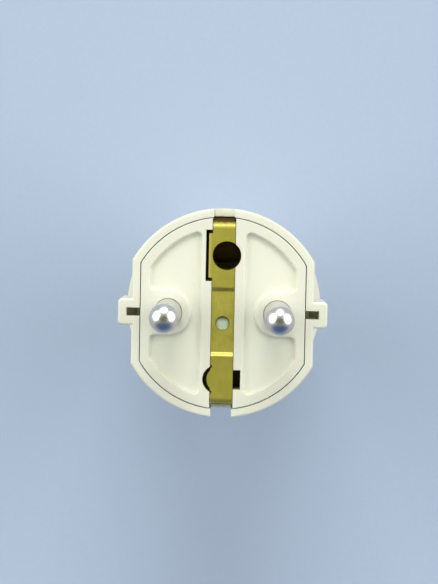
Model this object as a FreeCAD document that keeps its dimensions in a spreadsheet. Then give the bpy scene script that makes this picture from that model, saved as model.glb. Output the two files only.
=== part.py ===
import FreeCAD, Part
import math
import os

import Sketcher
from FreeCAD import Placement, Rotation, Vector

# An earthed mains plug that stands on its rear end, face up. Millimetres: +X along the line of the two
# pins, +Y towards the hole for a socket's earth pin, +Z out of the face. Origin on the axis, at the rear.

# Driving dimensions: name, value and what it measures.
DIMENSIONS = (
    ("face_height", "58", "front face above the rear end"),
    ("ring_radius", "18.2", "outer radius of the front ring and of the round band"),
    ("ring_wall", "1.45", "wall of the front ring"),
    ("flat_wall", "1.4", "wall of the ring at a flat"),
    ("flat_inset", "2.4", "flats of the ring inside its radius"),
    ("flat_length", "28.7", "length of the flats behind the face"),
    ("flat_cove", "5", "hollow rounding where a flat runs out into the round body"),
    ("edge_round", "0.4", "rounding of the ring's outer front edge"),
    ("rib_width", "4.6", "width of a guide rib"),
    ("rib_length", "10", "length of a guide rib behind the face"),
    ("rib_reach", "2.36", "how far a guide rib stands out of its flat"),
    ("rib_corner", "0.7", "rounding of a rib's outer corners"),
    ("slot_width", "1.45", "width of a release slot"),
    ("slot_length", "2.3", "reach of a release slot from the seat into the rib"),
    ("slot_cover", "5", "rib's wall under a release slot"),
    ("notch_width", "3.6", "width of an earth notch"),
    ("notch_length", "16", "length of an earth notch behind the face"),
    ("band_length", "32", "straight round sides behind the face"),
    ("neck_radius", "10.5", "radius of the rear neck"),
    ("neck_height", "4", "straight length of the rear neck"),
    ("neck_round", "0.8", "rounding of the rear edge"),
    ("grip_radius", "20", "radius of a finger hollow"),
    ("grip_depth", "0.35", "deepest line of a finger hollow inside the middle of the taper"),
    ("grip_height", "14.5", "height of that line above the rear end"),
    ("grip_rim", "0.6", "rounding of a finger hollow's rim"),
    ("grip_bar_radius", "0.7", "radius of a grip bar"),
    ("grip_bar_first", "3", "first grip bar above the deepest line"),
    ("grip_bar_pitch", "2.6", "spacing of the grip bars"),
    ("grip_bars", "4", "grip bars in each hollow"),
    ("seat_depth", "9", "thickness of the carrier's plate and depth of its seat"),
    ("seat_clearance", "0.15", "gap between the carrier and the ring"),
    ("ledge_width", "1.25", "ledge under the carrier's plate"),
    ("well_depth", "30", "straight inside of the hood behind the face"),
    ("floor_height", "6", "inside floor above the rear end"),
    ("floor_radius", "8.5", "radius of the inside floor"),
    ("inlet_radius", "5.6", "cord inlet through the rear wall"),
    ("inlet_lip", "2", "thickness of the rear wall around the inlet"),
    ("grommet_flange", "7.1", "radius of the grommet's flange"),
    ("grommet_flange_height", "2.5", "thickness of that flange"),
    ("grommet_sleeve_radius", "6", "radius of the grommet's sleeve"),
    ("grommet_sleeve_length", "5", "length of the grommet's sleeve"),
    ("grommet_recess", "0.4", "grommet's end inside the rear face"),
    ("grommet_clearance", "0.1", "gap around the grommet"),
    ("cord_radius", "4.2", "bore of the grommet"),
    ("plate_corner", "0.5", "rounding where the carrier's flats meet its arcs"),
    ("plate_round", "0.15", "rounding of the carrier's front edge"),
    ("border_width", "1.83", "raised border along the carrier's arcs"),
    ("border_flat", "1.65", "raised border along the carrier's flats"),
    ("wall_width", "1.82", "walls beside the strap groove"),
    ("panel_depth", "0.9", "depth of the recessed panels"),
    ("panel_corner", "0.8", "rounding of the panels' corners"),
    ("panel_foot", "0.4", "rounding at the floor of a panel"),
    ("panel_lip", "0.3", "rounding at the rim of a panel"),
    ("boss_radius", "3.95", "round end of a pin boss"),
    ("bump_width", "3.8", "width of a snap bump"),
    ("bump_reach", "0.9", "how far a snap bump stands out"),
    ("bump_height", "2", "height of a snap bump"),
    ("bump_rise", "3", "snap bump above the carrier's rear"),
    ("bump_side_gap", "0.15", "gap beside a snap bump"),
    ("pin_spacing", "19", "between the axes of the pins"),
    ("pin_radius", "2.4", "radius of a pin"),
    ("pin_length", "19", "pin in front of the face"),
    ("tip_radius", "3.05", "radius of a pin's domed tip"),
    ("tip_round", "0.8", "rounding between that dome and the pin's side"),
    ("pin_clearance", "0.06", "gap around a pin in the carrier"),
    ("pin_groove", "0.2", "depth of the groove around a pin, just inside the face"),
    ("pin_groove_width", "0.8", "width of that groove"),
    ("collar_radius", "4", "radius of a pin's collar"),
    ("collar_height", "1.5", "height of a pin's collar"),
    ("collar_room", "0.2", "gap between a pin's collar and the hood"),
    ("terminal_radius", "3.5", "radius of a pin's rear end"),
    ("terminal_length", "12", "pin behind the carrier's plate"),
    ("terminal_chamfer", "0.4", "chamfer of a pin's rear end"),
    ("wire_radius", "1.7", "wire hole in a pin"),
    ("wire_depth", "8", "depth of that hole"),
    ("wire_screw_height", "4", "wire screw above the pin's rear end"),
    ("leaf_width", "2", "width of a wire leaf"),
    ("leaf_thickness", "0.3", "thickness of a wire leaf"),
    ("leaf_length", "7", "length of a wire leaf"),
    ("leaf_offset", "1.3", "pin's axis to the screw side of the leaf"),
    ("wire_screw_reach", "3", "shank of a wire screw"),
    ("wire_screw_head", "2.6", "head radius of a wire screw"),
    ("screw_radius", "1.5", "shank radius of the small screws"),
    ("screw_head", "2.75", "head radius of the small screws"),
    ("screw_head_height", "1.9", "height of the screw heads"),
    ("screw_clearance", "0.1", "gap around a screw in a through hole"),
    ("screw_chamfer", "0.3", "chamfer of a screw's point"),
    ("screw_crown", "0.5", "rounding of a screw's head"),
    ("drive_width", "0.8", "width of a screw's slot"),
    ("drive_depth", "0.9", "depth of a screw's slot"),
    ("retainer_thickness", "3", "thickness of the pin retainer"),
    ("retainer_lug_gap", "1.4", "gap between the retainer and the earth terminal's lug"),
    ("retainer_corner", "1", "rounding of the retainer's corners"),
    ("retainer_hole_gap", "0.2", "retainer's hole wider than the earth pin socket"),
    ("retainer_screw_length", "8", "shank of the retainer screw"),
    ("post_radius", "3.5", "post under the retainer"),
    ("strap_width", "3.9", "width of the earth strap"),
    ("strap_thickness", "0.7", "thickness of the earth strap"),
    ("strap_side_gap", "0.08", "gap beside the strap in its groove"),
    ("strap_sink", "0.3", "ends of the strap below the face"),
    ("strap_step", "0.5", "middle of the strap below its ends"),
    ("upper_step", "4.15", "axis to the strap's step towards the earth hole"),
    ("lower_step", "7.1", "axis to the strap's other step"),
    ("bend_radius", "1.2", "outer rounding of the strap's folds"),
    ("bend_inner", "0.35", "inner rounding of the strap's folds"),
    ("step_round", "0.4", "rounding of the strap's steps"),
    ("leg_inset", "0.65", "strap's legs inside the carrier's radius"),
    ("leg_gap", "0.45", "gap behind a leg of the strap"),
    ("leg_length", "15", "free leg of the strap behind the face"),
    ("leg_bow", "0.5", "outward bow of a leg"),
    ("leg_foot", "1.2", "straight end of a leg under its bow"),
    ("leg_head", "2.2", "straight start of a leg above its bow"),
    ("leg_channel_gap", "0.15", "gap beside a leg in the hood"),
    ("leg_channel_length", "26", "channels for the legs behind the face"),
    ("stake_radius", "1.17", "peg that holds the strap"),
    ("stake_gap", "0.08", "gap around that peg"),
    ("stake_sink", "0.35", "peg's end below the strap's surface"),
    ("stake_offset", "1.75", "axis to the peg"),
    ("earth_hole_radius", "2.5", "hole for a socket's earth pin"),
    ("earth_hole_x", "0.54", "that hole beside the middle of the strap"),
    ("earth_hole_inset", "6.6", "middle of that hole inside the carrier's edge"),
    ("tab_reach", "0.63", "side tab of the strap beside the hole"),
    ("tab_length", "7.7", "length of that tab"),
    ("window_reach", "1.15", "window in the wall beside that tab"),
    ("window_margin", "0.6", "window past each end of the tab"),
    ("window_depth", "8", "depth of the windows beside the strap"),
    ("ear_radius", "2.3", "round ear of the strap"),
    ("ear_x", "0.27", "ear's centre beside the middle of the strap"),
    ("ear_inset", "5.1", "ear's centre inside the carrier's edge"),
    ("ear_pocket_shift", "0.55", "ear's pocket beside its ear"),
    ("ear_pocket_radius", "2.5", "pocket around the ear"),
    ("relief_radius", "0.3", "relief cuts beside the ear"),
    ("slit_window_length", "3.4", "window across the strap from the ear"),
    ("slit_window_reach", "1.32", "reach of that window into the wall"),
    ("socket_wall", "0.5", "wall of the earth pin socket"),
    ("socket_gap", "0.05", "gap around the earth pin socket"),
    ("socket_slit", "0.6", "slit of the earth pin socket"),
    ("socket_boss", "0.9", "wall of the boss around that socket"),
    ("lug_depth", "18", "earth terminal's lug behind the face"),
    ("lug_width", "6.4", "width of the lug"),
    ("lug_length", "6.4", "length of the lug"),
    ("lug_inset", "2.35", "lug's shoulders inside the leg's outer side"),
    ("earth_screw_radius", "1.75", "shank radius of the earth screw"),
    ("earth_screw_head", "3.1", "head radius of the earth screw"),
    ("earth_screw_length", "5.2", "shank of the earth screw"),
    ("earth_nut_width", "6", "side of the earth nut"),
    ("earth_nut_height", "2.2", "height of the earth nut"),
    ("earth_washer_width", "6.6", "side of the earth clamp washer"),
    ("earth_washer_height", "1", "thickness of the earth clamp washer"),
    ("rail_inner", "5.5", "axis to the inner side of a carrier rail"),
    ("rail_outer", "9.5", "axis to the outer side of a carrier rail"),
    ("rail_y", "5.4", "axis to the rails' cord side"),
    ("rail_thickness", "2.6", "thickness of the rails"),
    ("rail_gap", "0.2", "gap between the retainer and the rails"),
    ("clamp_height", "24", "middle of the cord clamp above the rear end"),
    ("clamp_width", "7", "width of the clamp's cross bar"),
    ("clamp_screw_x", "6.8", "axis to a clamp screw"),
    ("clamp_gap", "9.2", "cross bar to clamp bar"),
    ("clamp_bar_half", "9.3", "half length of the clamp bar"),
    ("clamp_bar_thickness", "2.8", "thickness of the clamp bar"),
    ("clamp_bar_width", "6", "width of the clamp bar"),
    ("clamp_bar_corner", "1", "rounding of the clamp bar's corners"),
    ("clamp_ridge_radius", "0.6", "radius of the ridges that grip the cord"),
    ("clamp_ridge_half", "4.4", "half length of those ridges"),
    ("clamp_ridge_pitch", "3", "spacing of those ridges"),
    ("clamp_nut_width", "5.5", "side of a clamp nut"),
    ("clamp_nut_height", "1.8", "height of a clamp nut"),
    ("clamp_nut_gap", "0.1", "gap around a clamp nut"),
)

doc = FreeCAD.newDocument("MainsPlug")
sheet = doc.addObject("Spreadsheet::Sheet", "Sizes")
for row, (alias, value, meaning) in enumerate(DIMENSIONS, start=1):
    sheet.set(f"A{row}", meaning)
    sheet.set(f"B{row}", value)
    sheet.setAlias(f"B{row}", alias)
doc.recompute()


class Size:
    """A length: its number now, and the sheet expression that keeps it up to date."""

    def __init__(self, number, text):
        self.number = number
        self.text = text

    def __add__(self, other):
        return Size(self.number + number_of(other), f"({self.text} + {text_of(other)})")

    def __radd__(self, other):
        return Size(number_of(other) + self.number, f"({text_of(other)} + {self.text})")

    def __sub__(self, other):
        return Size(self.number - number_of(other), f"({self.text} - {text_of(other)})")

    def __rsub__(self, other):
        return Size(number_of(other) - self.number, f"({text_of(other)} - {self.text})")

    def __mul__(self, other):
        return Size(self.number * number_of(other), f"({self.text} * {text_of(other)})")

    __rmul__ = __mul__

    def __truediv__(self, other):
        return Size(self.number / number_of(other), f"({self.text} / {text_of(other)})")

    def __neg__(self):
        return Size(-self.number, f"(-1 * {self.text})")


class Dimensions:
    """Reads a driving dimension by its name."""

    def __getattr__(self, alias):
        return Size(sheet.get(alias), f"Sizes.{alias}")


def number_of(size):
    return size.number if isinstance(size, Size) else size


def text_of(size):
    return size.text if isinstance(size, Size) else repr(size)


def root(size):
    return Size(math.sqrt(size.number), f"sqrt({size.text})")


dim = Dimensions()

# Levels and outlines that several pieces share.
FACE = dim.face_height
LEDGE = FACE - dim.seat_depth
SHOULDER = FACE - dim.flat_length
WELL_FLOOR = FACE - dim.well_depth
SEAT_RADIUS = dim.ring_radius - dim.ring_wall
FLAT_HALF = dim.ring_radius - dim.flat_inset
RIB_END = FLAT_HALF + dim.rib_reach
RIB_FOOT = FACE - dim.rib_length
SEAT_HALF = FLAT_HALF - dim.flat_wall
PLATE_RADIUS = SEAT_RADIUS - dim.seat_clearance
PLATE_HALF = SEAT_HALF - dim.seat_clearance
PIN_X = dim.pin_spacing / 2
WELL_RADIUS = SEAT_RADIUS - dim.ledge_width
WELL_HALF = PIN_X + dim.collar_radius + dim.collar_room
BUMP_FOOT = LEDGE + dim.bump_rise
BUMP_TOP = BUMP_FOOT + dim.bump_height
COLLAR_FOOT = LEDGE - dim.collar_height
RETAINER_FOOT = COLLAR_FOOT - dim.retainer_thickness
TERMINAL_FOOT = LEDGE - dim.terminal_length
WIRE_SCREW_Z = TERMINAL_FOOT + dim.wire_screw_height
SCREW_HOLE = dim.screw_radius + dim.screw_clearance
STRAP_HALF = dim.strap_width / 2
GROOVE_HALF = STRAP_HALF + dim.strap_side_gap
STRAP_TOP = FACE - dim.strap_sink
STRAP_LOW = STRAP_TOP - dim.strap_step
END_FLOOR = STRAP_TOP - dim.strap_thickness
MIDDLE_FLOOR = STRAP_LOW - dim.strap_thickness
# A strip folded by 45 degrees: how far the corner of its underside lies behind that of its top.
FOLD_SHIFT = dim.strap_thickness * math.tan(math.radians(22.5))
LEG_OUT = PLATE_RADIUS - dim.leg_inset
LEG_IN = LEG_OUT - dim.strap_thickness
LUG_TOP = FACE - dim.lug_depth
LUG_FOOT = LUG_TOP - dim.strap_thickness
LUG_OUTER = LEG_OUT - dim.lug_inset
LUG_INNER = LUG_OUTER - dim.lug_length
EARTH_SCREW_Y = LUG_OUTER - dim.lug_length / 2
EARTH_HOLE_Y = PLATE_RADIUS - dim.earth_hole_inset
EAR_Y = PLATE_RADIUS - dim.ear_inset
SOCKET_OUT = dim.earth_hole_radius + dim.socket_wall
SOCKET_BORE = SOCKET_OUT + dim.socket_gap
RAIL_BACK = dim.rail_y + dim.rail_thickness
CLAMP_TOP = dim.rail_y - dim.clamp_gap
CLAMP_FOOT = CLAMP_TOP - dim.clamp_bar_thickness
NUT_SEAT = RAIL_BACK - dim.clamp_nut_height

ALONG = {
    "X": Rotation(Vector(0, 1, 0), 90),
    "Y": Rotation(Vector(1, 0, 0), -90),
    "Z": Rotation(),
}
# Turns of a screw whose head looks the named way.
HEAD_TO = {
    "-Y": Rotation(Vector(1, 0, 0), 90),
    "-Z": Rotation(Vector(1, 0, 0), 180),
}
SIDES = {"left": -1, "right": 1}
TOUCH = 1e-4


def bind(obj, **sizes):
    """Ties properties to the sheet."""
    for name, size in sizes.items():
        if isinstance(size, Size):
            obj.setExpression(name, size.text)
        else:
            setattr(obj, name, size)


def place(obj, x, y, z, rotation=Rotation()):
    """Puts an object at a point that follows the sheet."""
    obj.Placement = Placement(Vector(number_of(x), number_of(y), number_of(z)), rotation)
    for axis, size in zip("xyz", (x, y, z)):
        if isinstance(size, Size):
            obj.setExpression(f"Placement.Base.{axis}", size.text)


def box(name, x, y, z):
    """A block between pairs of low and high limits."""
    obj = doc.addObject("Part::Box", name)
    bind(obj, Length=x[1] - x[0], Width=y[1] - y[0], Height=z[1] - z[0])
    place(obj, x[0], y[0], z[0])
    return obj


def rod(name, radius, length, x, y, z, axis="Z"):
    """A cylinder that starts at a point and runs along an axis."""
    obj = doc.addObject("Part::Cylinder", name)
    bind(obj, Radius=radius, Height=length)
    place(obj, x, y, z, ALONG[axis])
    return obj


def both(half):
    """Limits of something centred on the axis."""
    return (-half, half)


def around(middle, half):
    """Limits of something centred on a value."""
    return (middle - half, middle + half)


def span(side, near, far):
    """Limits of something on one side of the axis, low one first."""
    return (near, far) if side > 0 else (-far, -near)


def fuse(name, *shapes):
    obj = doc.addObject("Part::MultiFuse", name)
    obj.Shapes = list(shapes)
    obj.Refine = True
    return obj


def common(name, *shapes):
    obj = doc.addObject("Part::MultiCommon", name)
    obj.Shapes = list(shapes)
    obj.Refine = True
    return obj


def cut(name, base, *tools):
    obj = doc.addObject("Part::Cut", name)
    obj.Base = base
    obj.Tool = tools[0] if len(tools) == 1 else fuse(f"{name}_tools", *tools)
    obj.Refine = True
    return obj


def rounded(name, base, radius, wanted):
    """Rounds the edges of base for which wanted(edge) is true."""
    doc.recompute()
    edges = [index for index, edge in enumerate(base.Shape.Edges, start=1) if wanted(edge)]
    if not edges:
        raise RuntimeError(f"{name}: no edge to round")
    obj = doc.addObject("Part::Fillet", name)
    obj.Base = base
    obj.Edges = [(index, radius.number, radius.number) for index in edges]
    doc.recompute()
    return obj


def is_upright(edge):
    return edge.BoundBox.XLength < TOUCH and edge.BoundBox.YLength < TOUCH


def is_level(edge, height):
    return edge.BoundBox.ZLength < TOUCH and abs(edge.BoundBox.ZMin - number_of(height)) < TOUCH


def is_at(edge, x=None, y=None, z=None):
    """True for a straight edge whose middle has the given coordinates, where they are given."""
    middle = edge.BoundBox.Center
    pairs = zip((middle.x, middle.y, middle.z), (x, y, z))
    return all(size is None or abs(value - number_of(size)) < TOUCH for value, size in pairs)


def far_radius(edge):
    """The largest distance of an edge's ends from the axis of the plug."""
    return max(math.hypot(vertex.X, vertex.Y) for vertex in edge.Vertexes)


def new_body(label):
    body = doc.addObject("PartDesign::Body", label)
    body.Label = label
    return body


def outline(body, name, plane, corners, arcs=None, lift=None):
    """A closed sketch through corners; arcs gives the centre and turn of the arc that leaves a corner."""
    arcs = arcs or {}
    sketch = body.newObject("Sketcher::SketchObject", name)
    support = next(item for item in body.Origin.OriginFeatures if item.Role == plane)
    sketch.AttachmentSupport = [(support, "")]
    sketch.MapMode = "FlatFace"
    if lift is not None:
        sketch.setExpression("AttachmentOffset.Base.z", lift.text)
    points = [Vector(number_of(x), number_of(y), 0) for x, y in corners]
    count = len(points)
    starts, ends = [], []
    for index, point in enumerate(points):
        following = points[(index + 1) % count]
        if index not in arcs:
            sketch.addGeometry(Part.LineSegment(point, following), False)
            starts.append(1)
            ends.append(2)
            continue
        centre_x, centre_y, turn = arcs[index]
        centre = Vector(number_of(centre_x), number_of(centre_y), 0)
        first, last = (point, following) if turn == "ccw" else (following, point)
        circle = Part.Circle(centre, Vector(0, 0, 1), (point - centre).Length)
        from_angle = math.atan2(first.y - centre.y, first.x - centre.x)
        to_angle = math.atan2(last.y - centre.y, last.x - centre.x)
        if to_angle < from_angle:
            to_angle += 2 * math.pi
        sketch.addGeometry(Part.ArcOfCircle(circle, from_angle, to_angle), False)
        starts.append(1 if turn == "ccw" else 2)
        ends.append(2 if turn == "ccw" else 1)

    def fix(geometry, position, kind, size):
        place_in_list = sketch.addConstraint(
            Sketcher.Constraint(kind, geometry, position, number_of(size)))
        if isinstance(size, Size):
            sketch.setExpression(f"Constraints[{place_in_list}]", size.text)

    for index in range(count):
        following = (index + 1) % count
        sketch.addConstraint(
            Sketcher.Constraint("Coincident", index, ends[index], following, starts[following]))
    for index, (x, y) in enumerate(corners):
        along_x, along_y = True, True
        if (index - 1) % count in arcs:
            centre_x, centre_y, _ = arcs[(index - 1) % count]
            across = abs(number_of(x) - number_of(centre_x))
            along = abs(number_of(y) - number_of(centre_y))
            along_x, along_y = along >= across, along < across
        if along_x:
            fix(index, starts[index], "DistanceX", x)
        if along_y:
            fix(index, starts[index], "DistanceY", y)
    for index, (centre_x, centre_y, _) in arcs.items():
        fix(index, 3, "DistanceX", centre_x)
        fix(index, 3, "DistanceY", centre_y)
    return sketch


def turned(label, corners, arcs=None):
    """A body turned about Z from corners of radius and height."""
    body = new_body(label)
    sketch = outline(body, f"{label}_profile", "XZ_Plane", corners, arcs)
    turn = body.newObject("PartDesign::Revolution", f"{label}_turn")
    turn.Profile = sketch
    turn.ReferenceAxis = (sketch, ["V_Axis"])
    turn.Angle = 360
    return body


def screw(label, shank, length, head, point, way):
    """A slotted screw with its head's underside at a point; way is where its head looks."""
    top = dim.screw_head_height
    crown = dim.screw_crown
    body = turned(label, [
        (0, -length),
        (shank - dim.screw_chamfer, -length),
        (shank, -length + dim.screw_chamfer),
        (shank, 0),
        (head, 0),
        (head, top - crown),
        (head - crown, top),
        (0, top),
    ], {5: (head - crown, top - crown, "ccw")})
    half = dim.drive_width / 2
    slot = outline(body, f"{label}_slot", "XY_Plane",
                   [(-head, -half), (head, -half), (head, half), (-head, half)], lift=top)
    drive = body.newObject("PartDesign::Pocket", f"{label}_drive")
    drive.Profile = slot
    bind(drive, Length=dim.drive_depth)
    place(body, *point, HEAD_TO[way])
    return body


def make_hood():
    """The moulded housing: front ring, ribs, round body, finger hollows and cord inlet."""
    band_foot = FACE - dim.band_length
    middle = (dim.neck_radius + dim.ring_radius) / 2
    drop = dim.ring_radius - dim.neck_radius
    rise = band_foot - dim.neck_height
    ogee = (drop * drop + rise * rise) / (4 * drop)
    front = FACE - dim.edge_round
    blank = turned("hood_blank", [
        (0, 0),
        (dim.neck_radius - dim.neck_round, 0),
        (dim.neck_radius, dim.neck_round),
        (dim.neck_radius, dim.neck_height),
        (middle, (dim.neck_height + band_foot) / 2),
        (dim.ring_radius, band_foot),
        (dim.ring_radius, front),
        (dim.ring_radius - dim.edge_round, FACE),
        (0, FACE),
    ], {
        1: (dim.neck_radius - dim.neck_round, dim.neck_round, "ccw"),
        3: (dim.neck_radius + ogee, dim.neck_height, "cw"),
        4: (dim.ring_radius - ogee, band_foot, "ccw"),
        6: (dim.ring_radius - dim.edge_round, front, "ccw"),
    })
    outside = 2 * dim.ring_radius
    above = FACE + outside
    axis_x = middle - dim.grip_depth + dim.grip_radius
    ribs, hollows, bars, slots = [], [], [], []
    for name, side in SIDES.items():
        rib = box(f"hood_{name}_rib", span(side, SEAT_HALF, RIB_END), both(dim.rib_width / 2),
                  (RIB_FOOT, FACE))
        rib = rounded(f"hood_{name}_rib_corners", rib, dim.rib_corner, lambda edge: (
            is_upright(edge) and is_at(edge, x=side * RIB_END)))
        ribs.append(rounded(f"hood_{name}_rib_front", rib, dim.edge_round, lambda edge: (
            is_level(edge, FACE) and not is_at(edge, x=side * SEAT_HALF))))
        slots.append(box(f"hood_{name}_slot", span(side, PLATE_HALF, SEAT_HALF + dim.slot_length),
                         both(dim.slot_width / 2), (RIB_FOOT + dim.slot_cover, above)))
        catch = PLATE_HALF + dim.bump_reach + dim.bump_side_gap
        slots.append(box(f"hood_{name}_catch", span(side, PLATE_HALF, catch),
                         both(dim.bump_width / 2 + dim.bump_side_gap), (LEDGE, BUMP_TOP)))
        hollows.append(rod(f"hood_{name}_hollow", dim.grip_radius, 2 * outside,
                           side * axis_x, -outside, dim.grip_height, "Y"))
        for index in range(round(dim.grip_bars.number)):
            height = dim.grip_bar_first + index * dim.grip_bar_pitch
            reach = root(dim.grip_radius * dim.grip_radius - height * height)
            bars.append(rod(f"hood_{name}_bar", dim.grip_bar_radius, 2 * outside,
                            side * (axis_x - reach), -outside, dim.grip_height + height, "Y"))
    slab = rounded("hood_slab", box("hood_flats", both(FLAT_HALF), both(outside), (SHOULDER, FACE)),
                   dim.edge_round, lambda edge: is_level(edge, FACE) and edge.BoundBox.XLength < TOUCH)
    envelope = fuse("hood_envelope", slab, box("hood_rear", both(outside), both(outside), (0, SHOULDER)))
    envelope = rounded("hood_coves", envelope, dim.flat_cove, lambda edge: is_level(edge, SHOULDER) and (
        is_at(edge, x=FLAT_HALF) or is_at(edge, x=-FLAT_HALF)))
    outer = fuse("hood_outer", common("hood_round", blank, envelope), *ribs)
    outer = cut("hood_hollows", outer, *hollows)
    outer = rounded("hood_hollow_rims", outer, dim.grip_rim, lambda edge: all(
        abs(math.hypot(abs(point.x) - axis_x.number, point.z - dim.grip_height.number)
            - dim.grip_radius.number) < TOUCH for point in edge.discretize(3)))
    outer = fuse("hood_grips", outer, common("hood_bars", blank, fuse("hood_all_bars", *bars)))

    seat = common("hood_seat", box("hood_seat_flats", both(SEAT_HALF), both(outside), (LEDGE, above)),
                  rod("hood_seat_round", SEAT_RADIUS, outside, 0, 0, LEDGE))
    taper = doc.addObject("Part::Cone", "hood_taper")
    bind(taper, Radius1=dim.floor_radius, Radius2=WELL_RADIUS, Height=WELL_FLOOR - dim.floor_height)
    place(taper, 0, 0, dim.floor_height)
    well = fuse("hood_well_round", taper, rod("hood_well", WELL_RADIUS, LEDGE - WELL_FLOOR, 0, 0, WELL_FLOOR))
    well = common("hood_inside", well, box("hood_well_flats", both(WELL_HALF), both(outside),
                                           (dim.floor_height, LEDGE)))
    pocket = rod("hood_grommet_seat", dim.grommet_flange + dim.grommet_clearance,
                 dim.floor_height - dim.inlet_lip, 0, 0, dim.inlet_lip)
    inlet = rod("hood_inlet", dim.inlet_radius, dim.inlet_lip, 0, 0, 0)
    channel_half = STRAP_HALF + dim.leg_channel_gap
    channels = box("hood_leg_channels", both(channel_half), both(SEAT_RADIUS),
                   (FACE - dim.leg_channel_length, LEDGE))
    notch = box("hood_notches", both(dim.notch_width / 2), both(outside),
                (FACE - dim.notch_length, above))
    return cut("hood", outer, seat, well, pocket, inlet, notch, channels, *slots)


def make_panel(name, side):
    """The tool for the recess on one side of the face, around the pin boss."""
    floor = FACE - dim.panel_depth
    outer_x = PLATE_HALF - dim.border_flat
    inner_x = GROOVE_HALF + dim.wall_width
    blank = common(f"{name}_field",
                   rod(f"{name}_arc", PLATE_RADIUS - dim.border_width, dim.seat_depth, 0, 0, floor),
                   box(f"{name}_sides", span(side, inner_x, outer_x), both(PLATE_RADIUS),
                       (floor, floor + dim.seat_depth)))
    boss = fuse(f"{name}_boss",
                rod(f"{name}_boss_end", dim.boss_radius, dim.seat_depth, side * PIN_X, 0, floor),
                box(f"{name}_boss_root", span(side, PIN_X, PLATE_RADIUS), both(dim.boss_radius),
                    (floor, floor + dim.seat_depth)))
    tool = cut(f"{name}_blank", blank, boss)
    tool = rounded(f"{name}_corners", tool, dim.panel_corner, lambda edge: (
        is_upright(edge) and (is_at(edge, x=side * outer_x) or is_at(edge, x=side * inner_x))))
    return rounded(f"{name}_tool", tool, dim.panel_foot, lambda edge: is_level(edge, floor))


def make_carrier():
    """The moulded insert: plate with its face, snap bumps, rails and the cord clamp's cross bar."""
    outside = 2 * PLATE_RADIUS
    above = FACE + outside
    plate = common("carrier_plate",
                   rod("carrier_round", PLATE_RADIUS, dim.seat_depth, 0, 0, LEDGE),
                   box("carrier_flats", both(PLATE_HALF), both(outside), (LEDGE, FACE)))
    plate = rounded("carrier_corners", plate, dim.plate_corner, is_upright)
    plate = cut("carrier_panels", plate, *(make_panel(f"{name}_panel", side) for name, side in SIDES.items()))
    plate = rounded("carrier_panel_rims", plate, dim.panel_lip, lambda edge: (
        is_level(edge, FACE) and far_radius(edge) < PLATE_RADIUS.number - dim.border_width.number / 2))
    plate = rounded("carrier_front_edge", plate, dim.plate_round, lambda edge: (
        is_level(edge, FACE) and far_radius(edge) > PLATE_HALF.number - TOUCH))
    step = dim.strap_step / 2 + FOLD_SHIFT
    plate = cut("carrier_groove", plate,
                box("carrier_groove_ends", both(GROOVE_HALF), both(outside), (END_FLOOR, above)),
                box("carrier_groove_middle", both(GROOVE_HALF),
                    (-(dim.lower_step + step), dim.upper_step + step), (MIDDLE_FLOOR, above)))
    plate = rounded("carrier_groove_edges", plate, dim.plate_round, lambda edge: (
        is_level(edge, FACE) and abs(abs(edge.BoundBox.Center.x) - GROOVE_HALF.number) < TOUCH))

    boss_radius = SOCKET_BORE + dim.socket_boss
    clamp_low = dim.clamp_height - dim.clamp_width / 2
    clamp_high = dim.clamp_height + dim.clamp_width / 2
    back = (dim.rail_y, RAIL_BACK)
    solids = [
        plate,
        rod("carrier_post", dim.post_radius, dim.collar_height, 0, 0, COLLAR_FOOT),
        rod("carrier_socket_boss", boss_radius, dim.collar_height,
            dim.earth_hole_x, EARTH_HOLE_Y, COLLAR_FOOT),
        box("carrier_cross_bar", both(dim.rail_outer), back, (clamp_low, clamp_high)),
    ]
    tools = [
        rod("carrier_screw_hole", dim.screw_radius, dim.retainer_screw_length,
            0, 0, RETAINER_FOOT),
        rod("carrier_socket_bore", SOCKET_BORE, END_FLOOR - COLLAR_FOOT,
            dim.earth_hole_x, EARTH_HOLE_Y, COLLAR_FOOT),
        rod("carrier_earth_hole", dim.earth_hole_radius, dim.seat_depth,
            dim.earth_hole_x, EARTH_HOLE_Y, END_FLOOR),
        rod("carrier_ear_pocket", dim.ear_pocket_radius, dim.window_depth + dim.seat_depth,
            -(dim.ear_x + dim.ear_pocket_shift), -EAR_Y, FACE - dim.window_depth),
        box("carrier_tab_window", (-(STRAP_HALF + dim.window_reach), 0),
            around(EARTH_HOLE_Y, dim.tab_length / 2 + dim.window_margin),
            (FACE - dim.window_depth, above)),
        box("carrier_slit_window", (0, STRAP_HALF + dim.slit_window_reach),
            around(-EAR_Y, dim.slit_window_length / 2), (FACE - dim.window_depth, above)),
    ]
    for name, side in SIDES.items():
        solids.append(box(f"carrier_{name}_rail", span(side, dim.rail_inner, dim.rail_outer), back,
                          (clamp_low, LEDGE)))
        solids.append(make_bump(f"carrier_{name}_bump", side))
        tools.append(rod(f"carrier_{name}_pin_hole", dim.pin_radius + dim.pin_clearance,
                         dim.seat_depth, side * PIN_X, 0, LEDGE))
        tools.append(rod(f"carrier_{name}_clamp_hole", SCREW_HOLE, dim.rail_thickness,
                         side * dim.clamp_screw_x, dim.rail_y, dim.clamp_height, "Y"))
        nut_half = dim.clamp_nut_width / 2 + dim.clamp_nut_gap
        tools.append(box(f"carrier_{name}_nut_pocket", around(side * dim.clamp_screw_x, nut_half),
                         (NUT_SEAT, RAIL_BACK), around(dim.clamp_height, nut_half)))
        limits = span(side, LEG_IN - dim.leg_gap, outside)
        tools.append(box(f"carrier_{name}_leg_notch", both(GROOVE_HALF), limits, (LEDGE, above)))
    peg = rod("carrier_peg", dim.stake_radius, STRAP_LOW - dim.stake_sink - MIDDLE_FLOOR,
              0, -dim.stake_offset, MIDDLE_FLOOR)
    return fuse("contact_carrier", cut("carrier_cut", fuse("carrier_solid", *solids), *tools), peg)


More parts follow.
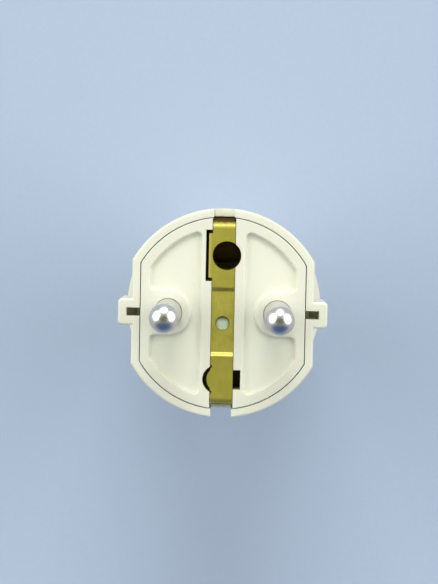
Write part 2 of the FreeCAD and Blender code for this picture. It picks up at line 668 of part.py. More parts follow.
def make_bump(name, side):
    """A snap bump on one flat of the carrier, sloped where it enters the hood."""
    bump = doc.addObject("Part::Wedge", name)
    slope = dim.bump_height - dim.bump_reach
    bind(bump, Xmin=0, Xmax=dim.bump_width, X2min=0, X2max=dim.bump_width,
         Ymin=0, Ymax=dim.bump_reach, Zmin=0, Zmax=dim.bump_height, Z2max=dim.bump_height,
         Z2min=dim.bump_height - slope)
    place(bump, side * PLATE_HALF, side * dim.bump_width / 2, BUMP_FOOT,
          Rotation(Vector(0, 0, 1), -90 * side))
    return bump


def make_pin(name, side):
    """A turned contact pin: domed tip, groove at the face, collar, and a wire hole in its rear end."""
    tip = FACE + dim.pin_length
    dome = tip - dim.tip_radius
    rounding = dim.pin_radius - dim.tip_round
    apart = dim.tip_radius - dim.tip_round
    rise = root(apart * apart - rounding * rounding)
    share = dim.tip_radius / apart
    chamfer = dim.terminal_chamfer
    blank = turned(f"{name}_pin_blank", [
        (dim.wire_radius, TERMINAL_FOOT),
        (dim.terminal_radius - chamfer, TERMINAL_FOOT),
        (dim.terminal_radius, TERMINAL_FOOT + chamfer),
        (dim.terminal_radius, COLLAR_FOOT),
        (dim.collar_radius, COLLAR_FOOT),
        (dim.collar_radius, LEDGE),
        (dim.pin_radius, LEDGE),
        (dim.pin_radius, FACE - dim.pin_groove_width),
        (dim.pin_radius - dim.pin_groove, FACE - dim.pin_groove_width),
        (dim.pin_radius - dim.pin_groove, FACE),
        (dim.pin_radius, FACE),
        (dim.pin_radius, dome + rise),
        (share * rounding, dome + share * rise),
        (0, tip),
        (0, TERMINAL_FOOT + dim.wire_depth),
        (dim.wire_radius, TERMINAL_FOOT + dim.wire_depth),
    ], {11: (rounding, dome + rise, "ccw"), 12: (0, dome, "ccw")})
    place(blank, side * PIN_X, 0, 0)
    thread = rod(f"{name}_pin_thread", dim.screw_radius, 2 * dim.terminal_radius,
                 side * PIN_X, -2 * dim.terminal_radius, WIRE_SCREW_Z, "Y")
    return cut(f"{name}_pin", blank, thread)


def make_wire_leaf(name, side):
    """The thin leaf between a wire screw and the strands."""
    middle = TERMINAL_FOOT + dim.wire_depth / 2
    return box(f"{name}_wire_leaf", around(side * PIN_X, dim.leaf_width / 2),
               (-dim.leaf_offset, dim.leaf_thickness - dim.leaf_offset), around(middle, dim.leaf_length / 2))


def make_wire_screw(name, side):
    head_y = -(dim.leaf_offset + dim.wire_screw_reach)
    return screw(f"{name}_wire_screw", dim.screw_radius, dim.wire_screw_reach, dim.wire_screw_head,
                 (side * PIN_X, head_y, WIRE_SCREW_Z), "-Y")


def make_retainer():
    """The moulded plate that traps the collars of the pins and the earth pin socket."""
    height = (RETAINER_FOOT, COLLAR_FOOT)
    plate = box("retainer_plate", both(WELL_HALF - dim.collar_room),
                (dim.retainer_lug_gap - LUG_INNER, dim.rail_y - dim.rail_gap), height)
    plate = rounded("retainer_corners", plate, dim.retainer_corner, is_upright)
    lobe = SOCKET_BORE + dim.socket_boss
    blank = fuse("retainer_blank", plate,
                 box("retainer_lobe", around(dim.earth_hole_x, lobe), (0, EARTH_HOLE_Y), height),
                 rod("retainer_lobe_end", lobe, dim.retainer_thickness,
                     dim.earth_hole_x, EARTH_HOLE_Y, RETAINER_FOOT))
    holes = [
        rod("retainer_screw_hole", SCREW_HOLE, dim.retainer_thickness, 0, 0, RETAINER_FOOT),
        rod("retainer_earth_hole", dim.earth_hole_radius + dim.retainer_hole_gap, dim.retainer_thickness,
            dim.earth_hole_x, EARTH_HOLE_Y, RETAINER_FOOT),
    ]
    for name, side in SIDES.items():
        holes.append(rod(f"retainer_{name}_hole", dim.terminal_radius + dim.pin_clearance,
                         dim.retainer_thickness, side * PIN_X, 0, RETAINER_FOOT))
    return cut("pin_retainer", blank, *holes)


def make_strap():
    """The folded brass strip: stepped across the face, a bowed leg each way, a lug on one of them."""
    upper_top = dim.upper_step + dim.strap_step / 2
    upper_low = dim.upper_step - dim.strap_step / 2
    lower_top = -(dim.lower_step + dim.strap_step / 2)
    lower_low = -(dim.lower_step - dim.strap_step / 2)
    free_foot = FACE - dim.leg_length
    bow_foot = free_foot + dim.leg_foot
    bow_head = STRAP_TOP - dim.leg_head
    half = (bow_head - bow_foot) / 2
    bow_radius = (dim.leg_bow * dim.leg_bow + half * half) / (2 * dim.leg_bow)
    bow_z = bow_foot + half
    out_centre = LEG_OUT + dim.leg_bow - bow_radius
    in_centre = LEG_IN + dim.leg_bow - bow_radius
    strip = new_body("strap_strip")
    sketch = outline(strip, "strap_profile", "YZ_Plane", [
        (LEG_OUT, free_foot),
        (LEG_OUT, bow_foot),
        (LEG_OUT, bow_head),
        (LEG_OUT, STRAP_TOP),
        (upper_top, STRAP_TOP),
        (upper_low, STRAP_LOW),
        (lower_low, STRAP_LOW),
        (lower_top, STRAP_TOP),
        (-LEG_OUT, STRAP_TOP),
        (-LEG_OUT, bow_head),
        (-LEG_OUT, bow_foot),
        (-LEG_OUT, LUG_FOOT),
        (-LUG_INNER, LUG_FOOT),
        (-LUG_INNER, LUG_TOP),
        (-LEG_IN, LUG_TOP),
        (-LEG_IN, bow_foot),
        (-LEG_IN, bow_head),
        (-LEG_IN, END_FLOOR),
        (lower_top - FOLD_SHIFT, END_FLOOR),
        (lower_low - FOLD_SHIFT, MIDDLE_FLOOR),
        (upper_low + FOLD_SHIFT, MIDDLE_FLOOR),
        (upper_top + FOLD_SHIFT, END_FLOOR),
        (LEG_IN, END_FLOOR),
        (LEG_IN, bow_head),
        (LEG_IN, bow_foot),
        (LEG_IN, free_foot),
    ], {
        1: (out_centre, bow_z, "ccw"),
        9: (-out_centre, bow_z, "ccw"),
        15: (-in_centre, bow_z, "cw"),
        23: (in_centre, bow_z, "cw"),
    })
    pad = strip.newObject("PartDesign::Pad", "strap_pad")
    pad.Profile = sketch
    bind(pad, Length=dim.strap_width)
    place(strip, -STRAP_HALF, 0, 0)
    folds = [
        (dim.bend_radius, [(LEG_OUT, STRAP_TOP), (-LEG_OUT, STRAP_TOP), (-LEG_OUT, LUG_FOOT)]),
        (dim.bend_inner, [(LEG_IN, END_FLOOR), (-LEG_IN, END_FLOOR), (-LEG_IN, LUG_TOP)]),
        (dim.step_round, [(upper_top, STRAP_TOP), (upper_low, STRAP_LOW),
                          (lower_top, STRAP_TOP), (lower_low, STRAP_LOW)]),
    ]
    for number, (radius, corners) in enumerate(folds):
        strip = rounded(f"strap_folds_{number}", strip, radius, lambda edge: any(
            is_at(edge, y=y, z=z) for y, z in corners))
    level = (END_FLOOR, STRAP_TOP)
    ear = common("strap_ear",
                 rod("strap_ear_round", dim.ear_radius, dim.strap_thickness,
                     -dim.ear_x, -EAR_Y, END_FLOOR),
                 box("strap_ear_half", (-2 * dim.strap_width, 0), (-2 * EAR_Y, 0), level))
    blank = fuse("strap_blank", strip, ear,
                 box("strap_tab", (-(STRAP_HALF + dim.tab_reach), 0),
                     around(EARTH_HOLE_Y, dim.tab_length / 2), level),
                 box("strap_lug", both(dim.lug_width / 2), (-LUG_OUTER, -LUG_INNER),
                     (LUG_FOOT, LUG_TOP)))
    pocket_x = dim.ear_x + dim.ear_pocket_shift
    across = STRAP_HALF - pocket_x
    relief_y = root(dim.ear_pocket_radius * dim.ear_pocket_radius - across * across)
    thickness = 2 * dim.strap_thickness
    holes = [
        rod("strap_earth_hole", dim.earth_hole_radius, thickness,
            dim.earth_hole_x, EARTH_HOLE_Y, END_FLOOR),
        rod("strap_stake_hole", dim.stake_radius + dim.stake_gap, thickness,
            0, -dim.stake_offset, MIDDLE_FLOOR),
        rod("strap_screw_hole", dim.earth_screw_radius + dim.screw_clearance, thickness,
            0, -EARTH_SCREW_Y, LUG_FOOT),
    ]
    for name, side in SIDES.items():
        holes.append(rod(f"strap_{name}_relief", dim.relief_radius, thickness,
                         -STRAP_HALF, side * relief_y - EAR_Y, END_FLOOR))
    return cut("earth_strap", blank, *holes)


def make_earth_socket():
    """The split sleeve behind the strap that grips a socket's earth pin."""
    where = (dim.earth_hole_x, EARTH_HOLE_Y, COLLAR_FOOT)
    length = END_FLOOR - COLLAR_FOOT
    return cut("earth_pin_socket", rod("socket_outside", SOCKET_OUT, length, *where),
               rod("socket_bore", dim.earth_hole_radius, length, *where),
               box("socket_slit_cut", (dim.earth_hole_x, 2 * EARTH_HOLE_Y),
                   around(EARTH_HOLE_Y, dim.socket_slit / 2), (COLLAR_FOOT, END_FLOOR)))


def make_square(label, width, height, hole, foot):
    """A square plate with a hole, on the earth screw's axis."""
    return cut(label,
               box(f"{label}_blank", both(width / 2), around(-EARTH_SCREW_Y, width / 2),
                   (foot, foot + height)),
               rod(f"{label}_hole", hole, height, 0, -EARTH_SCREW_Y, foot))


def make_clamp_nut(name, side):
    half = dim.clamp_nut_width / 2
    return cut(f"{name}_clamp_nut",
               box(f"{name}_clamp_nut_blank", around(side * dim.clamp_screw_x, half),
                   (NUT_SEAT, RAIL_BACK), around(dim.clamp_height, half)),
               rod(f"{name}_clamp_nut_thread", dim.screw_radius, dim.clamp_nut_height,
                   side * dim.clamp_screw_x, NUT_SEAT, dim.clamp_height, "Y"))


def make_clamp_bar():
    """The moulded saddle that presses the cord against the cross bar."""
    height = around(dim.clamp_height, dim.clamp_bar_width / 2)
    bar = box("clamp_bar_blank", both(dim.clamp_bar_half), (CLAMP_FOOT, CLAMP_TOP), height)
    bar = rounded("clamp_bar_corners", bar, dim.clamp_bar_corner, lambda edge: (
        edge.BoundBox.YLength > TOUCH))
    ridges = [rod(f"clamp_ridge_{index}", dim.clamp_ridge_radius, 2 * dim.clamp_ridge_half,
                  -dim.clamp_ridge_half, CLAMP_TOP, dim.clamp_height + place_of * dim.clamp_ridge_pitch, "X")
              for index, place_of in enumerate((-0.5, 0.5))]
    holes = [rod(f"clamp_{name}_hole", SCREW_HOLE, dim.clamp_bar_thickness,
                 side * dim.clamp_screw_x, CLAMP_FOOT, dim.clamp_height, "Y")
             for name, side in SIDES.items()]
    return cut("cord_clamp_bar", fuse("clamp_bar_ridged", bar, *ridges), *holes)


def make_grommet():
    """The soft bushing in the cord inlet."""
    neck = dim.inlet_radius - dim.grommet_clearance
    flange_top = dim.inlet_lip + dim.grommet_flange_height
    sleeve_top = flange_top + dim.grommet_sleeve_length
    return turned("cord_grommet", [
        (dim.cord_radius, dim.grommet_recess),
        (neck, dim.grommet_recess),
        (neck, dim.inlet_lip),
        (dim.grommet_flange, dim.inlet_lip),
        (dim.grommet_flange, flange_top),
        (dim.grommet_sleeve_radius, flange_top),
        (dim.grommet_sleeve_radius, sleeve_top),
        (dim.cord_radius, sleeve_top),
    ])


def make_all():
    """Every piece of the plug, in the order of the list in the report."""
    pieces = [make_hood(), make_carrier(), make_strap(), make_earth_socket(), make_retainer()]
    pieces.append(screw("retainer_screw", dim.screw_radius, dim.retainer_screw_length, dim.screw_head,
                        (0, 0, RETAINER_FOOT), "-Z"))
    washer_foot = LUG_FOOT - dim.earth_washer_height
    pieces.append(make_square("earth_terminal_nut", dim.earth_nut_width, dim.earth_nut_height,
                              dim.earth_screw_radius, LUG_TOP))
    pieces.append(make_square("earth_clamp_washer", dim.earth_washer_width, dim.earth_washer_height,
                              dim.earth_screw_radius + dim.screw_clearance, washer_foot))
    pieces.append(screw("earth_terminal_screw", dim.earth_screw_radius, dim.earth_screw_length,
                        dim.earth_screw_head, (0, -EARTH_SCREW_Y, washer_foot), "-Z"))
    clamp_length = RAIL_BACK - CLAMP_FOOT
    for name, side in SIDES.items():
        pieces.append(make_pin(name, side))
        pieces.append(make_wire_leaf(name, side))
        pieces.append(make_wire_screw(name, side))
        pieces.append(make_clamp_nut(name, side))
        pieces.append(screw(f"{name}_clamp_screw", dim.screw_radius, clamp_length, dim.screw_head,
                            (side * dim.clamp_screw_x, CLAMP_FOOT, dim.clamp_height), "-Y"))
    pieces.append(make_clamp_bar())
    pieces.append(make_grommet())
    return pieces


def check(pieces):
    """Stops on a failed object, or on a piece that isn't one valid solid."""
    for obj in doc.Objects:
        if "Invalid" in obj.State or "Error" in obj.State:
            raise RuntimeError(f"{obj.Name} failed: {obj.State}")
    for piece in pieces:
        shape = piece.Shape
        if shape.isNull() or not shape.isValid() or len(shape.Solids) != 1:
            raise RuntimeError(f"{piece.Label} is not one valid solid")


plug = make_all()
doc.recompute()
check(plug)
os.makedirs("parts", exist_ok=True)
for piece in plug:
    piece.Shape.exportStep(f"parts/{piece.Label}.step")
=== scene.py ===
import math
from collections import namedtuple

import bmesh
import bpy
from bpy.props import FloatProperty, FloatVectorProperty, IntProperty, PointerProperty
from bpy.types import Operator, Panel, PropertyGroup
from mathutils import Euler, Matrix, Vector


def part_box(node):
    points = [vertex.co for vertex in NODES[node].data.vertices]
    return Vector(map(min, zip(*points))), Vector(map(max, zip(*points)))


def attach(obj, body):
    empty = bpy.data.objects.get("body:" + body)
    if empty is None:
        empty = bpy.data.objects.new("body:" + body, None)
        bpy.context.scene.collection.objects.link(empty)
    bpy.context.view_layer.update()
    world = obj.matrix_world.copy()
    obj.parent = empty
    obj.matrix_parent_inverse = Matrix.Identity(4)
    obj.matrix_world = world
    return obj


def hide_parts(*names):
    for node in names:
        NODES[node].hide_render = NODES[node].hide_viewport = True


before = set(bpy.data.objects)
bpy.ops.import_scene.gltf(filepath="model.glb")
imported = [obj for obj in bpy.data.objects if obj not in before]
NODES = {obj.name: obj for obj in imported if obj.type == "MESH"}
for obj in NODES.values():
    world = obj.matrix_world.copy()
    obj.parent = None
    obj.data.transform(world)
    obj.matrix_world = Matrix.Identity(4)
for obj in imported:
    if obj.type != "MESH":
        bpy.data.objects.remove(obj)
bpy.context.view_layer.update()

# An earthed mains plug on a pale floor. Metres: +X along the line of the two pins, +Y towards the hole
# for a socket's earth pin, +Z out of the face. The plug stands on its rear end.

bl_info = {
    "name": "Earthed mains plug",
    "version": (1, 0, 0),
    "blender": (4, 5, 0),
    "location": "3D View > Sidebar > Plug",
    "description": "Finishes the packed mains plug and sets its studio",
    "category": "Object",
}

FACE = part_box("hood")[1].z
SIDES = (-1, 1)

# A soft box on the plug: its middle, half its size, and the width of its fading edge.
Zone = namedtuple("Zone", "centre half softness")
# The axis of a screw, and the radii of its shank and its head.
Screw = namedtuple("Screw", "axis shank head")
# A lamp's name and place, the width and length of its oval, and the setting that holds its power.
Lamp = namedtuple("Lamp", "name place width length power")
# A dim patch of the room: the way to its middle, the cosines of the angles from it at which the patch
# starts and is full, and the setting that holds its light.
Patch = namedtuple("Patch", "toward start full light")

# Painted light: zones in the hood's two earth notches that get a paler tone, so that their dimly lit floors
# look brighter.
EARTH_NOTCHES = [
    Zone((0.0, side * 0.0168, FACE - 0.00815), (0.0020, 0.0020, 0.00815), 0.0002) for side in SIDES]
PANEL_FLOORS = [
    Zone((side * 0.0082, 0.0, FACE - 0.0009), (0.0047, 0.016, 0.0004), 0.0002) for side in SIDES]
# Painted shade on the strap's sunk peg end: a dark painted shadow over the whole end, then a dimmer, cooler
# tone over a soft middle set towards -Y, so that the shadow stays at the +Y rim.
PEG_SHADOW_ZONE = Zone((0.0, -0.00175, FACE - 0.0014), (0.0014, 0.0014, 0.0006), 0.0001)
PEG_MIDDLE = Zone((0.0, -0.00215, FACE - 0.0014), (0.0015, 0.0015, 0.0020), 0.0010)
# Painted shade: dark zones in the deep cuts in the walls beside the earth strap.
SHADED_CUTS = [
    Zone((-0.0026, 0.0100, FACE - 0.0045), (0.0009, 0.0048, 0.0042), 0.0003),
    Zone((0.0026, -0.0115, FACE - 0.0045), (0.0010, 0.0020, 0.0042), 0.0003),
    Zone((-0.0027, -0.0115, FACE - 0.0045), (0.0010, 0.0027, 0.0042), 0.0003),
]
# The strap's brass is darker away from this middle zone, towards its ends.
STRAP_MIDDLE = Zone((0.0, -0.00148, FACE - 0.001), (0.0030, 0.0057, 0.0020), 0.0008)
# Painted highlight: paler brass along the left edge of the strap's tab.
STRAP_TAB_HIGHLIGHT = Zone((-0.0026, 0.0100, FACE - 0.0004), (0.0006, 0.0039, 0.0010), 0.0005)
# Painted highlight: bright brass on the slope of the strap's lower step.
STRAP_SLOPE_HIGHLIGHT = Zone((0.0, -0.0071, FACE - 0.0006), (0.0030, 0.0005, 0.0010), 0.0003)
# Painted shade and dark reflection, brown, in zones at the strap's folds. Heights are shrunk in these
# zones, so that the painted shade fades slowly down the legs.
FOLD_SHRINK = 0.1
STRAP_FOLD_SHADES = [
    Zone((0.0, side * 0.0166, FOLD_SHRINK * (FACE - 0.00375)),
         (0.0030, 0.0010, FOLD_SHRINK * 0.00975), 0.0004) for side in SIDES]

SCREWS = {
    "retainer_screw": Screw("Z", 0.0015, 0.00275),
    "earth_terminal_screw": Screw("Z", 0.00175, 0.0031),
    "left_wire_screw": Screw("Y", 0.0015, 0.0026),
    "right_wire_screw": Screw("Y", 0.0015, 0.0026),
    "left_clamp_screw": Screw("Y", 0.0015, 0.00275),
    "right_clamp_screw": Screw("Y", 0.0015, 0.00275),
}
# Turns about X that point a head down along the screw's axis.
HEAD_TURNS = {"Z": math.pi, "Y": math.pi / 2}
# One turn of a thread: shares of its depth, from the root out, and shares of its pitch, from below.
THREAD_OUTLINE = ((0.0, 0.0), (0.0, 0.12), (1.0, 0.45), (1.0, 0.6), (0.0, 0.93), (0.0, 1.0))
# Turns that are cut off at the ends of a thread, and the width of its pointed end as a share.
SPARE_TURNS = 2
POINT_SHARE = 0.86
# Steps round a head, round the grommet and across a rounded rim.
HEAD_STEPS = 48
GROMMET_STEPS = 96
RIM_STEPS = 4
# Edges that bend by more than this stay crisp.
SHARP_ANGLE = math.radians(32)

# Distances at which two corners are one, a corner is on a rim, and a corner is on a plane.
MERGE_REACH = 1e-7
RIM_REACH = 1e-6
PLANE_REACH = 1e-8
UP = (0, 0, 1)
DOWN = (0, 0, -1)
ACROSS = (0, 1, 0)
ORIGIN = (0, 0, 0)

# Steps round the floor, and how much lighter and darker its paper gets.
FLOOR_STEPS = 96
FLOOR_FLECK = 0.03
# The room is narrowed along X, which widens its dim patches that way.
ROOM_STRETCH = (0.6, 1.0, 1.0)
ROOM_PATCHES = (
    Patch((0.0, -0.80, 0.60), 0.72, 0.985, "room_dim"),
    Patch((0.0, 0.0, 1.0), 0.90, 0.97, "room_above"),
)
LAMPS = (
    Lamp("key", (0.0, 1.95, 1.48), 1.5, 1.35, "key_power"),
    Lamp("left", (-1.76, 0.60, 1.60), 2.7, 2.1, "side_power"),
    Lamp("right", (1.78, 0.52, 1.60), 2.7, 2.1, "side_power"),
)
# The width of the camera's frame, and the nearest distance that it sees.
FRAME_WIDTH_MM = 36.0
NEAREST_SEEN = 0.01

# The sockets of a Mix node that mixes colours; the node has others of the same names.
MIX_FACTOR = 0
MIX_FIRST = 6
MIX_SECOND = 7
MIX_RESULT = 2
NOISE_MIDDLE = (0.5, 0.5, 0.5)


class PlugPlasticSettings(PropertyGroup):
    """Colours and gloss of the moulded pieces."""

    hood_light: FloatVectorProperty(
        name="Hood, light", description="Lighter tone of the hood's warm white",
        subtype="COLOR", size=3, min=0, max=1, default=(0.86, 0.86, 0.705))
    hood_dark: FloatVectorProperty(
        name="Hood, dark", description="Darker tone of the hood's warm white",
        subtype="COLOR", size=3, min=0, max=1, default=(0.835, 0.835, 0.68))
    # Painted light: a paler tone that brightens the hood's two earth notches.
    notch: FloatVectorProperty(
        name="Earth notches", description="Paler tone in the hood's two earth notches",
        subtype="COLOR", size=3, min=0, max=1, default=(0.95, 0.95, 0.82))
    carrier_light: FloatVectorProperty(
        name="Carrier, light", description="Lighter tone of the carrier's warm white",
        subtype="COLOR", size=3, min=0, max=1, default=(0.85, 0.853, 0.70))
    carrier_dark: FloatVectorProperty(
        name="Carrier, dark", description="Darker tone of the carrier's warm white",
        subtype="COLOR", size=3, min=0, max=1, default=(0.825, 0.828, 0.675))
    panel: FloatVectorProperty(
        name="Panel floor", description="Duller tone of the textured floors of the recessed panels",
        subtype="COLOR", size=3, min=0, max=1, default=(0.845, 0.855, 0.70))
    # Painted shade: a dark tone inside the deep cuts beside the earth strap.
    depth: FloatVectorProperty(
        name="Deep cuts", description="Dark tone inside the deep cuts beside the earth strap",
        subtype="COLOR", size=3, min=0, max=1, default=(0.42, 0.34, 0.15))
    # Painted shade: a dimmer, cooler tone on the middle of the strap's sunk peg end.
    peg: FloatVectorProperty(
        name="Peg", description="Cool tone of the melted end of the strap's peg",
        subtype="COLOR", size=3, min=0, max=1, default=(0.58, 0.66, 0.50))
    # Painted shadow: a dark tone at the rim of the strap's sunk peg end.
    peg_rim: FloatVectorProperty(
        name="Peg rim", description="Dull tone around the melted end of the strap's peg",
        subtype="COLOR", size=3, min=0, max=1, default=(0.22, 0.23, 0.11))
    inner_light: FloatVectorProperty(
        name="Inner pieces, light", description="Lighter tone of the pin retainer and the clamp bar",
        subtype="COLOR", size=3, min=0, max=1, default=(0.74, 0.73, 0.62))
    inner_dark: FloatVectorProperty(
        name="Inner pieces, dark", description="Darker tone of the pin retainer and the clamp bar",
        subtype="COLOR", size=3, min=0, max=1, default=(0.64, 0.63, 0.53))
    dust: FloatVectorProperty(
        name="Dust", description="Tone of the rare dust specks in the moulded skin",
        subtype="COLOR", size=3, min=0, max=1, default=(0.50, 0.46, 0.34))
    dust_share: FloatProperty(
        name="Dust share", description="How strongly the dust specks show",
        subtype="FACTOR", min=0, max=1, default=0.2)
    smooth: FloatProperty(
        name="Smoothest", description="Roughness of the most polished moulded skin",
        subtype="FACTOR", min=0, max=1, default=0.28)
    dull: FloatProperty(
        name="Dullest", description="Roughness of the dullest moulded skin",
        subtype="FACTOR", min=0, max=1, default=0.42)
    inner_smooth: FloatProperty(
        name="Inner pieces, smoothest", description="Roughness of the most polished skin inside the plug",
        subtype="FACTOR", min=0, max=1, default=0.42)
    inner_dull: FloatProperty(
        name="Inner pieces, dullest", description="Roughness of the dullest skin inside the plug",
        subtype="FACTOR", min=0, max=1, default=0.54)
    notch_dull: FloatProperty(
        name="Earth notches, dull", description="Least roughness in the earth notches",
        subtype="FACTOR", min=0, max=1, default=0.3)
    panel_dull: FloatProperty(
        name="Panel floor, dull", description="Least roughness of the panel floors",
        subtype="FACTOR", min=0, max=1, default=0.5)
    peg_dull: FloatProperty(
        name="Peg, dull", description="Least roughness of the strap's peg",
        subtype="FACTOR", min=0, max=1, default=0.3)
    depth_dull: FloatProperty(
        name="Deep cuts, dull", description="Least roughness inside the deep cuts",
        subtype="FACTOR", min=0, max=1, default=0.8)
    grain_height: FloatProperty(
        name="Grain height", description="Height of the mould's fine texture",
        subtype="DISTANCE", unit="LENGTH", min=0, default=0.000006)


class PlugMetalSettings(PropertyGroup):
    """Colours and gloss of the metal pieces."""

    brass_bright: FloatVectorProperty(
        name="Brass, bright", description="Freshly rolled brass",
        subtype="COLOR", size=3, min=0, max=1, default=(0.70, 0.635, 0.107))
    brass_dull: FloatVectorProperty(
        name="Brass, dull", description="Brass with a light tarnish",
        subtype="COLOR", size=3, min=0, max=1, default=(0.60, 0.535, 0.084))
    brass_streak: FloatVectorProperty(
        name="Brass, streaks", description="Darker brass in the rolling streaks",
        subtype="COLOR", size=3, min=0, max=1, default=(0.41, 0.36, 0.06))
    # Painted highlight: paler brass along the left edge of the earth strap's tab.
    brass_rubbed: FloatVectorProperty(
        name="Brass, rubbed", description="Pale brass at the rubbed edge of the earth strap's tab",
        subtype="COLOR", size=3, min=0, max=1, default=(0.76, 0.63, 0.19))
    # Painted highlight: bright brass on the slope of the earth strap's lower step.
    brass_polished: FloatVectorProperty(
        name="Brass, polished", description="Bright brass on the slope of the earth strap's lower step",
        subtype="COLOR", size=3, min=0, max=1, default=(0.74, 0.69, 0.175))
    # Darker brass towards the ends of the earth strap.
    brass_worn: FloatVectorProperty(
        name="Brass, worn", description="Darker brass at the ends of the earth strap",
        subtype="COLOR", size=3, min=0, max=1, default=(0.42, 0.365, 0.045))
    # Painted shade and dark reflection: brown at the folds of the earth strap's legs.
    brass_brown: FloatVectorProperty(
        name="Brass, brown", description="Brown oxide at the folds of the earth strap's legs",
        subtype="COLOR", size=3, min=0, max=1, default=(0.10, 0.064, 0.016))
    streak_share: FloatProperty(
        name="Streak share", description="How strongly the rolling streaks show",
        subtype="FACTOR", min=0, max=1, default=0.25)
    # How much darker the brass gets towards the ends of the earth strap.
    worn_share: FloatProperty(
        name="Worn share", description="How strongly the wear at the ends of the earth strap shows",
        subtype="FACTOR", min=0, max=1, default=0.45)
    brass_coat: FloatProperty(
        name="Brass, coat", description="Weight of the clear coat on bright brass",
        subtype="FACTOR", min=0, max=1, default=0.9)
    brass_smooth: FloatProperty(
        name="Brass, smoothest", description="Roughness of the smoothest brass",
        subtype="FACTOR", min=0, max=1, default=0.50)
    brass_rough: FloatProperty(
        name="Brass, roughest", description="Roughness of the roughest brass",
        subtype="FACTOR", min=0, max=1, default=0.62)
    brass_height: FloatProperty(
        name="Brass, marks", description="Height of the rolling marks",
        subtype="DISTANCE", unit="LENGTH", min=0, default=0.000004)
    # How far the edge of the painted shade at the strap's folds wanders.
    fold_ragged: FloatProperty(
        name="Oxide, ragged", description="How far the edge of the oxide wanders",
        subtype="DISTANCE", unit="LENGTH", min=0, default=0.0007)
    nickel_bright: FloatVectorProperty(
        name="Nickel, bright", description="Bright plate on the pins",
        subtype="COLOR", size=3, min=0, max=1, default=(0.80, 0.79, 0.76))
    nickel_dull: FloatVectorProperty(
        name="Nickel, dull", description="Rubbed plate on the pins",
        subtype="COLOR", size=3, min=0, max=1, default=(0.68, 0.67, 0.64))
    rub_share: FloatProperty(
        name="Rub share", description="How strongly the rubbed lines of the pins show",
        subtype="FACTOR", min=0, max=1, default=0.5)
    nickel_smooth: FloatProperty(
        name="Nickel, smoothest", description="Roughness of the smoothest plate on the pins",
        subtype="FACTOR", min=0, max=1, default=0.20)
    nickel_rough: FloatProperty(
        name="Nickel, roughest", description="Roughness of the roughest plate between rubbed lines",
        subtype="FACTOR", min=0, max=1, default=0.24)
    nickel_rub: FloatProperty(
        name="Nickel, rubbed", description="Roughness that the rubbed lines of the pins add",
        subtype="FACTOR", min=0, max=1, default=0.06)
    nickel_height: FloatProperty(
        name="Nickel, marks", description="Height of the tool rings and rubbed lines",
        subtype="DISTANCE", unit="LENGTH", min=0, default=0.0000008)
    zinc_bright: FloatVectorProperty(
        name="Zinc, bright", description="Bright zinc on screws and nuts",
        subtype="COLOR", size=3, min=0, max=1, default=(0.66, 0.67, 0.68))
    zinc_dull: FloatVectorProperty(
        name="Zinc, dull", description="Dull zinc on screws and nuts",
        subtype="COLOR", size=3, min=0, max=1, default=(0.52, 0.52, 0.52))
    zinc_smooth: FloatProperty(
        name="Zinc, smoothest", description="Roughness of the smoothest zinc",
        subtype="FACTOR", min=0, max=1, default=0.26)
    zinc_rough: FloatProperty(
        name="Zinc, roughest", description="Roughness of the roughest zinc",
        subtype="FACTOR", min=0, max=1, default=0.42)
    zinc_height: FloatProperty(
        name="Zinc, grain", description="Height of the zinc's fine grain",
        subtype="DISTANCE", unit="LENGTH", min=0, default=0.000003)


class PlugScrewSettings(PropertyGroup):
    """Sizes of the threads and heads of the screws."""

    pitch: FloatProperty(
        name="Pitch", description="Rise of the thread in one turn",
        subtype="DISTANCE", unit="LENGTH", min=0.0001, default=0.0005)
    thread_depth: FloatProperty(
        name="Thread depth", description="Depth of the thread below the shank's radius",
        subtype="DISTANCE", unit="LENGTH", min=0, default=0.00028)
    thread_steps: IntProperty(
        name="Steps", description="Steps in one turn of the thread", min=8, default=28)
    head_height: FloatProperty(
        name="Head height", description="Height of a screw's head",
        subtype="DISTANCE", unit="LENGTH", min=0.0001, default=0.0019)
    head_round: FloatProperty(
        name="Head rounding", description="Rounding of a screw's head",
        subtype="DISTANCE", unit="LENGTH", min=0, default=0.0005)
    drive_width: FloatProperty(
        name="Slot width", description="Width of a screw's slot",
        subtype="DISTANCE", unit="LENGTH", min=0, default=0.0008)
    drive_depth: FloatProperty(
        name="Slot depth", description="Depth of a screw's slot",
        subtype="DISTANCE", unit="LENGTH", min=0, default=0.0009)


